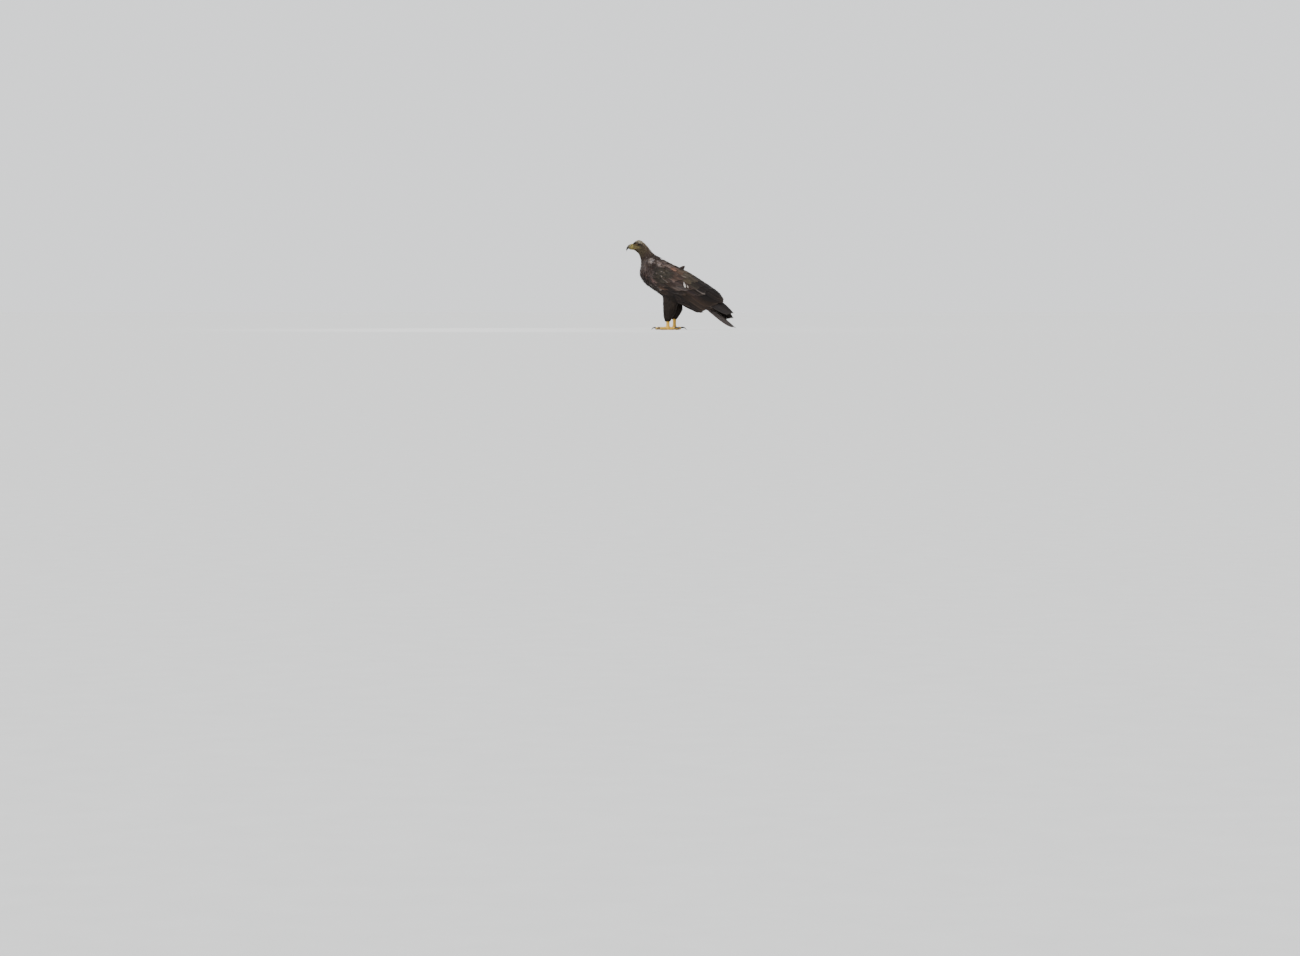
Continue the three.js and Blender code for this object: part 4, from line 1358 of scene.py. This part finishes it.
# Rows of coverts over the tail's base and the rump: how many, place of the tips, how far to the sides
# they reach, length, half width, and the heights of root and tip.
TAIL_COVERT_ROWS = (
    (6, 0.46, 1.0, 0.36, 15.0, 2.2, 4.7),
    (7, 0.36, 1.0, 0.32, 14.0, 3.4, 5.9),
    (7, 0.26, 1.0, 0.28, 13.0, 4.6, 7.1),
    (6, 0.16, 1.0, 0.24, 12.0, 5.8, 8.3),
    (5, 0.07, 1.0, 0.20, 12.0, 7.0, 9.5),
    (6, 0.44, 0.72, 0.40, 14.0, 26.0, 9.0),
    (6, 0.38, 0.68, 0.36, 14.0, 36.0, 17.0),
    (6, 0.31, 0.64, 0.34, 14.0, 44.0, 26.0),
    (5, 0.24, 0.56, 0.32, 14.0, 52.0, 36.0),
    (4, 0.17, 0.44, 0.30, 14.0, 58.0, 46.0),
)


def make_tail():
    """Twelve feathers in a shallow arch, the middle pair on top, under rows of coverts."""
    plumage = Plumage()
    lanes = (np.arange(TAIL_FEATHERS) + 0.5) / TAIL_FEATHERS * 2 - 1
    lanes = lanes[np.argsort(-np.abs(lanes))]
    above = 0.5 * np.arange(TAIL_FEATHERS) - 3.0
    root = np.stack([0 * lanes - 0.02, lanes * 0.8], -1)
    tip = np.stack([0 * lanes + 1.0, lanes * 0.95], -1)
    row(plumage, tail_point, LEFT, root, tip, 15.0, above, above, rings=28, point=0.05, fringe=0.25,
        spread=0.12, tint=TAIL_COLOUR, thick=0.9, strips=True)
    plumage.build("tail_vanes", tail_vane, "flight_feathers", "tail")
    plumage = Plumage()
    for count, tips, spread, length, half, low, high in TAIL_COVERT_ROWS:
        across = np.linspace(-spread, spread, count) * (1 - 0.5 / count) + random.normal(0, 0.02, count)
        tip = np.stack([tips - 0.09 * across**2 + random.normal(0, 0.008, count), across], -1)
        root = tip - np.stack([0 * across + length, 0.1 * across], -1)
        row(plumage, tail_point, LEFT, root, tip, half, low, high, point=0.25, fringe=0.4, share=0.06,
            tint=TAIL_COVERT_COLOUR)
    plumage.build("tail_coverts", covert_vane)


# Rings of raised feathers from the tuft's base up: how many, place of the tips and their height.
TUFT_ROWS = ((7, 1.1, 0.5), (9, 0.92, 1.4), (9, 0.66, 2.2), (8, 0.38, 2.6))


def tuft_point(u, turn, side=LEFT):
    """A point of the bud-shaped mound under the raised feathers; u runs from its root to its tip."""
    rise = math.radians(TUFT_SIZE["rise"])
    ahead = np.array([0.0, math.cos(rise), math.sin(rise)])
    up = np.array([0.0, -math.sin(rise), math.cos(rise)])
    swell = TUFT_SIZE["radius"] * np.sin(np.pi * np.clip(0.18 + 0.62 * u, 0, 1))
    u, turn, swell = (value[..., None] for value in np.broadcast_arrays(u, turn, swell))
    ring = (1.15 * side, 0.0, 0.0) * np.sin(turn) + up * np.cos(turn)
    return TUFT_AT + ahead * TUFT_SIZE["half_length"] * (2 * u - 1) + ring * swell


def make_tuft():
    """A rounded bunch of raised feathers on the left side of the back, in rings round a small mound."""
    plumage = Plumage()
    for count, tips, high in TUFT_ROWS:
        turn = np.linspace(-2.3, 2.3, count) + random.normal(0, 0.12, count)
        tip = np.stack([tips + random.normal(0, 0.08, count), turn], -1)
        half, high = random.uniform(4.0, 6.0, count), high + random.normal(0, 1.1, count)
        row(plumage, tuft_point, LEFT, tip - (0.62, 0.0), tip, half, -2.0, high, rings=11, point=0.15,
            fringe=0.35, spread=0.22, tint=TUFT_COLOUR, thick=0.4)
    plumage.build("tuft_feathers", contour_vane, "plumage", "tuft")


for label, side in SIDES.items():
    make_wing(label, side)
    make_primaries(label, side)
make_mantle()
make_tail()
make_tuft()
for piece in COAT_PIECES:
    coat_piece(*piece)

# ---------------------------------------------------------------- head

HORN = (0.108, 0.086, 0.021)
HORN_TIP = (0.010, 0.0085, 0.0085)
# Painted shade inside the nostrils' pits.
NOSTRIL_PAINTED_SHADE = (0.006, 0.005, 0.004)
CERE = (0.168, 0.132, 0.028)
GAPE = (0.25, 0.155, 0.045)
# Painted shade in the slit between the lips.
MOUTH_SLIT_SHADE = (0.05, 0.03, 0.018)
LID = (0.024, 0.018, 0.013)
LID_RIM = (0.012, 0.010, 0.008)
LID_REACH, LID_FOLD = 8.5, 1.5  # how far the lids reach from the line of sight, and their folds' spacing
BROW_SKIN = (0.11, 0.086, 0.040)


def plain_piece(name, parts, material, slot, *nodes):
    """A piece of several tubes, each (rings, tint, flow), with an unwrap of its own shape."""
    meshes, tints, flows = [], [], []
    for rings, tint, flow in parts:
        n, m = rings.shape[:2]
        meshes.append(tube_mesh(rings))
        for store, values in ((tints, tint), (flows, flow)):
            values = np.broadcast_to(values, (n, m, 3))
            store.append(np.concatenate([values[:1], values, values[-1:]]).reshape(-1, 3))
    piece = new_object(name, *joined(meshes))
    set_colour(piece, "tint", np.concatenate(tints))
    set_vector(piece, "flow", np.concatenate(flows))
    unwrap(piece, "OFBake")
    piece.data.materials.append(material)
    finished(piece, slot, *nodes)


def bill_rings(rows, steps, sides):
    """Rings of a bill's half through its stations, with each point's share along it and its angle."""
    t, angle = tube_grid(steps, sides)
    squareness = np.where(np.sin(angle) < 0, BILL_SQUARENESS[1], BILL_SQUARENESS[0])
    rings = cross_section(spline(rows)(t), angle, squareness)
    rings[..., 0] *= 1 - BILL_NARROWER * smooth(0.3, 1.0, oval(angle, squareness)[1])
    return rings, t, angle


def mixed(a, b, share):
    """Colours from a to b, by each point's share."""
    return np.array(a) + (np.array(b) - np.array(a)) * np.asarray(share)[..., None]


def make_bill():
    """Upper bill with its swollen cere and pitted nostrils, painted dark inside as shade, and lower bill."""
    rings, t, angle = bill_rings(UPPER_BILL, 110, 96)
    y, z = rings[..., 1], rings[..., 2]
    outward = unit(rings - rings.mean(1, keepdims=True))
    cere = smooth(CERE_END_Y - 0.7, CERE_END_Y + 0.7, y + 0.06 * (z - 500))
    rings = rings + outward * (0.55 * cere * smooth(0, 0.08, t))[..., None]
    pit = np.hypot((y - NOSTRIL["y"]) / NOSTRIL["long"], (z - NOSTRIL["z"]) / NOSTRIL["high"])
    hole = 1 - smooth(0.55, 1.15, pit)
    rim = np.exp(-(((pit - 1.45) / 0.35) ** 2))
    rings[..., 0] -= np.sign(rings[..., 0]) * (NOSTRIL["deep"] * hole - 0.25 * rim)
    tint = mixed(HORN, HORN_TIP, smooth(0.20, 0.56, t + 0.06 * np.sin(angle)))
    # The nostrils' pits are painted dark as shade.
    tint = mixed(mixed(tint, CERE, cere), NOSTRIL_PAINTED_SHADE, hole)
    flow = np.stack([t, np.cos(angle), cere + 2.5 * hole], -1)
    horn = horn_material()
    plain_piece("upper_bill", [(rings, tint, flow)], horn, "bill", "bill_upper")
    rings, t, angle = bill_rings(LOWER_BILL + (0, LOWER_BILL_TUCK, 0, 0, 0), 60, 64)
    rings = rings * (LOWER_BILL_NARROW, 1, 1)
    cere = 1 - smooth(0, 0.3, t)
    tint = mixed(mixed(HORN, HORN_TIP, smooth(0.45, 0.95, t) * 0.85), CERE, cere)
    flow = np.stack([t, np.cos(angle), cere], -1)
    plain_piece("lower_bill", [(rings, tint, flow)], horn, "bill", "bill_lower")


def on_skin(side, y, z, proud):
    """A point over the head's side at y, z."""
    hit, normal, _, _ = surface.tree.ray_cast((side * 90, y, z), (-side, 0, 0))
    return np.array(hit) + np.array(normal) * proud


# The brow's edge with its radii, and the mouth's line on the bill and on the skin behind it.
BROW_EDGE = ((13.4, -220, 509.0), (19.3, -214, 511.0), (24.3, -207, 513.6), (27.0, -200, 515.2),
             (27.0, -193, 515.6), (24.6, -186, 514.8))
BROW_RADII = (0.4, 1.1, 1.7, 1.9, 1.5, 0.6)
MOUTH_START = ((10.6, -233, 488.6), (12.4, -222, 489.2))
MOUTH_CORNER = ((-213, 489.0), (-207, 488.2), (-201, 486.9), (-196, 485.3))
LIP_RADII = (0.5, 1.2, 1.5, 1.35, 1.0, 0.5)
NO_FLOW = (0, 0, 0)


def eye_frame(side):
    """The eye's centre, its line of sight, and the level and upright directions across that line."""
    gaze = unit(EYE_GAZE * (side, 1, 1))
    level = unit(np.cross((0, 0, 1), gaze))
    return EYE_AT * (side, 1, 1), gaze, level, np.cross(gaze, level)


def make_eye(label, side, material):
    """An eyeball with a bulging cornea; its flow is the distance from the line of sight."""
    centre, gaze, level, up = eye_frame(side)
    local = ball(64, 96)
    ahead = -local[..., 1]
    bulge = 1 + 0.07 * smooth(0.72, 0.9, ahead)
    rings = centre + (local * EYE_RADIUS * bulge[..., None]) @ np.stack([level, -gaze, up])
    flow = np.stack([local[..., 0] * EYE_RADIUS, local[..., 2] * EYE_RADIUS, ahead], -1)
    plain_piece("eyeball_" + label, [(rings, (0.1, 0.06, 0.03), flow)], material, "eyes", "eye_" + label)


def lid_part(side):
    """Both lids of an eye as one folded ring that hugs the eyeball."""
    centre, gaze, level, up = eye_frame(side)
    turn, around = mesh_grid(np.linspace(0, 2 * np.pi, 97), full_turn(36))
    high = np.where(np.sin(turn) > 0, UPPER_LID, 1.0) * EYE_OPENING[1]
    rim = np.stack([EYE_OPENING[0] * np.cos(turn), high * np.sin(turn)], -1)
    edge = np.linalg.norm(rim, axis=-1)
    share = (1 + np.cos(around)) / 2
    reach = edge + (LID_REACH - edge) * share
    fold = 0.14 * np.cos(2 * np.pi * (reach - edge) / LID_FOLD) + 0.2 * (1 - share) ** 3
    out = np.sqrt(np.maximum(EYE_RADIUS**2 - reach**2, 4)) + 0.4 + (0.4 + fold) * np.sin(around)
    place = unit(rim) * reach[..., None]
    lid = centre + place[..., :1] * level + place[..., 1:] * up + out[..., None] * gaze
    return lid, mixed(LID_RIM, LID, smooth(0.05, 0.35, share)), NO_FLOW


def brow_part(side):
    """The bony ridge over an eye."""
    path = np.array(BROW_EDGE) * (side, 1, 1)
    brow, _, along, _ = tube_rings(path, BROW_RADII, 60, 24, 1.2, 0.62, rounded=0.1)
    return brow, mixed(BROW_SKIN, LID, smooth(0.25, 0.8, along) * 0.8), NO_FLOW


def lip_part(side):
    """The yellow corner of the mouth, with a groove between the lips along its outside, painted dark there
    as shade in the slit.
    """
    path = [(side * x, y, z) for x, y, z in MOUTH_START]
    path += [on_skin(side, y, z, 0.25) for y, z in MOUTH_CORNER]
    lip, core, along, around = tube_rings(path, LIP_RADII, 80, 40, 0.6, 1.2, rounded=0.15)
    seam = np.exp(-((np.sin(around) / 0.3) ** 2)) * (np.cos(around) * side > 0)
    lip = lip - unit(lip - core) * (0.45 * seam)[..., None]
    tint = mixed(CERE, GAPE, 0.8 * smooth(0.2, 0.8, along))
    # The seam is painted dark as shade in the slit between the lips.
    return lip, mixed(tint, MOUTH_SLIT_SHADE, 0.85 * seam), NO_FLOW


def make_face():
    """Eyes, lids, brow ridges and the corners of the mouth."""
    bare, wet = bare_skin_material(), eye_material()
    for label, side in SIDES.items():
        make_eye(label, side, wet)
    parts = [part(side) for side in SIDES.values() for part in (lid_part, brow_part, lip_part)]
    plain_piece("bare_face", parts, bare, "bill")


make_bill()
make_face()

# ---------------------------------------------------------------- legs and feet

YELLOW = (0.58, 0.33, 0.02)
# Paler yellow on the toes' upper side and the shank's front: a painted highlight.
YELLOW_PAINTED_HIGHLIGHT = (0.62, 0.375, 0.06)
SOLE = (0.42, 0.25, 0.055)
SCUTE = 3.4  # mm from plate to plate
TOE_TAPER = (1.05, 0.98, 0.98, 0.86, 0.84)
CLAW_RADII = (5.4, 5, 3.2, 0.5)


def plates(distance, share):
    """Relief of plates across a toe or shank: flat with narrow grooves."""
    step = np.abs(2 * np.mod(distance / SCUTE, 1) - 1)
    return (1 - step**7) * share


def heading_path(side, heading, places):
    """Points straight out from a foot's middle, each (how far, height)."""
    turn = math.radians(heading)
    return [leg_point(side, math.sin(turn) * far, -math.cos(turn) * far, z) for far, z in places]


def toe_path(side, heading, length, radius):
    """The middle of a toe, which lies on its pads."""
    sole = radius - SOLE_PRESS
    places = ((4, radius + 3), (0.28 * length, sole), (0.52 * length, sole), (0.76 * length, radius + 1),
              (length, radius - 1.5))
    return heading_path(side, heading, places)


def claw_path(side, heading, length, chord, radius):
    """The middle of a claw, arched from the end of its toe down to the floor."""
    places = ((length - 4, radius), (length + chord * 0.3, radius * 1.55),
              (length + chord * 0.7, radius * 1.2), (length + chord, 0.6))
    return heading_path(side, heading, places)


def scaly(rings, centre, distance, upper, lower, knuckle):
    """A foot's part with plates across its upper side, painted paler there as a highlight, and pads
    underneath: rings, tint and flow.
    """
    relief = plates(distance, upper)
    rings = rings + unit(rings - centre) * (0.8 * relief + knuckle)[..., None]
    rings[..., 2] = np.maximum(rings[..., 2], 0)
    # Paler on the upper side as a painted highlight, and SOLE on the pads underneath.
    tint = mixed(mixed(YELLOW, YELLOW_PAINTED_HIGHLIGHT, 0.7 * upper), SOLE, lower)
    return rings, tint, np.stack([1 - upper + relief, 0 * upper, upper], -1)


def make_toe(label, side, toe, scale, horn):
    """A scaly toe and its claw."""
    name, heading, length, chord, radius, pads = toe
    radii = [share * radius for share in TOE_TAPER]
    path = toe_path(side, heading, length + 3, radius)
    rings, centre, t, angle = tube_rings(path, radii, 120, 48, rounded=0.09)
    bulge = np.sin(np.pi * np.mod(t * pads + 0.15, 1)) ** 2
    upper, lower = smooth(0.15, 0.7, np.sin(angle)), smooth(0.1, 0.9, -np.sin(angle))
    knuckle = radius * (0.10 * bulge * lower + 0.05 * (1 - bulge) * upper - 0.07 * (1 - bulge) * (1 - upper))
    part = scaly(rings, centre, t * length, upper, lower, knuckle)
    plain_piece(f"toe_{label}_{name}_scales", [part], scale, "feet", f"toe_{label}_{name}")
    path = claw_path(side, heading, length, chord, radius)
    rings, centre, t, angle = tube_rings(path, CLAW_RADII, 70, 32, broad=0.75)
    groove = 0.5 * smooth(0.6, 1.0, -np.sin(angle)) * (1 - t)
    rings = rings - unit(rings - centre) * groove[..., None]
    rings[..., 2] = np.maximum(rings[..., 2], 0.05)
    part = (rings, (0.02, 0.02, 0.02), np.stack([t, np.cos(angle), 0 * t], -1))
    plain_piece(f"claw_{label}_{name}_horn", [part], horn, "claws", f"claw_{label}_{name}")


def make_foot(label, side):
    """Four toes with claws, and the shank over them."""
    horn, scale = claw_material(), foot_material()
    for toe in TOES:
        make_toe(label, side, toe, scale, horn)
    top, foot, radius, ankle = (TARSUS[key] for key in ("top", "foot", "radius", "ankle"))
    path = [leg_point(side, 0, 0, z) for z in (top, 0.6 * top, 0.35 * top, foot, 1.5)]
    radii = (radius + 1, radius - 0.5, radius - 0.5, ankle - 1, ankle - 1.5)
    rings, centre, _, _ = tube_rings(path, radii, 130, 56)
    front = smooth(-0.1, 0.6, -(rings[..., 1] - centre[..., 1]) / radius)
    shank = scaly(rings, centre, centre[..., 2] * 0.8, front, 0 * front, 0 * front)
    plain_piece(f"tarsus_{label}_scales", [shank], scale, "feet", f"tarsus_{label}")


for label, side in SIDES.items():
    make_foot(label, side)

# ---------------------------------------------------------------- floor, lights and camera

PHOTO_WIDTH, PHOTO_HEIGHT = 1300, 956
MM_PER_PIXEL = 6.0
FLOOR_PIXEL, Y_ZERO_PIXEL = 330, 670
CAMERA_DISTANCE = 26.0
CAMERA_HEIGHT = 0.12
SENSOR = 36.0
FLOOR_COLOUR = (0.70, 0.70, 0.69)
WORLD_COLOUR, WORLD_STRENGTH = (0.97, 0.985, 1.0, 1), 1.35
KEY_FROM, KEY_STRENGTH, KEY_SPREAD = (2.0, -1.3, 2.6), 2.3, 25
CATCH_FROM, CATCH_AT, CATCH_STRENGTH, CATCH_SIZE = (1.8, -1.7, 1.3), (0, -0.2, 0.4), 12.0, 0.22


def make_lamp(light, place, target):
    """A light at a place, turned to its target and not itself in the picture."""
    lamp = bpy.data.objects.new(light.name, light)
    lamp.location = place
    lamp.rotation_euler = (Vector(target) - Vector(place)).to_track_quat("-Z", "Y").to_euler()
    lamp.visible_camera = False
    bpy.context.scene.collection.objects.link(lamp)


def make_stage():
    """Pale floor, even studio light, a soft key and a catchlight for each eye."""
    bpy.ops.mesh.primitive_plane_add(size=400)
    floor = bpy.context.object
    floor.name = "floor"
    s = Shader("floor_paper", specular_ior_level=0.05)
    grain = s.grain(60.0, rough=0.55)
    floor.data.materials.append(s.finish(s.scaled(FLOOR_COLOUR, s.varied(grain, 0.985, 1.015)), 0.9,
                                         s.bump(grain, 0.05)))
    world = bpy.data.worlds.new("studio")
    world.use_nodes = True
    bpy.context.scene.world = world
    background = world.node_tree.nodes["Background"]
    background.inputs["Color"].default_value = WORLD_COLOUR
    background.inputs["Strength"].default_value = WORLD_STRENGTH
    sun = bpy.data.lights.new("key", "SUN")
    sun.energy, sun.angle = KEY_STRENGTH, math.radians(KEY_SPREAD)
    catch = bpy.data.lights.new("catchlight", "AREA")
    catch.energy, catch.size = CATCH_STRENGTH, CATCH_SIZE
    make_lamp(sun, KEY_FROM, (0, 0, 0))
    x, y, z = CATCH_FROM
    for side in SIDES.values():
        make_lamp(catch, (side * x, y, z), CATCH_AT)


def make_camera():
    """The photograph's framing, seen level from the bird's left, above the floor."""
    data = bpy.data.cameras.new("camera")
    camera = bpy.data.objects.new("camera", data)
    bpy.context.scene.collection.objects.link(camera)
    bpy.context.scene.camera = camera
    middle_y = (PHOTO_WIDTH / 2 - Y_ZERO_PIXEL) * MM_PER_PIXEL
    middle_z = (FLOOR_PIXEL - PHOTO_HEIGHT / 2) * MM_PER_PIXEL
    target = Vector(to_frame((0, middle_y, middle_z)))
    camera.location = Vector((CAMERA_DISTANCE, target.y, CAMERA_HEIGHT))
    towards = target - camera.location
    camera.rotation_euler = towards.to_track_quat("-Z", "Y").to_euler()
    data.sensor_width = SENSOR
    data.lens = SENSOR * towards.length / (PHOTO_WIDTH * MM_PER_PIXEL / 1000)
    data.clip_start = 0.5
    data.clip_end = 1000


make_stage()
make_camera()
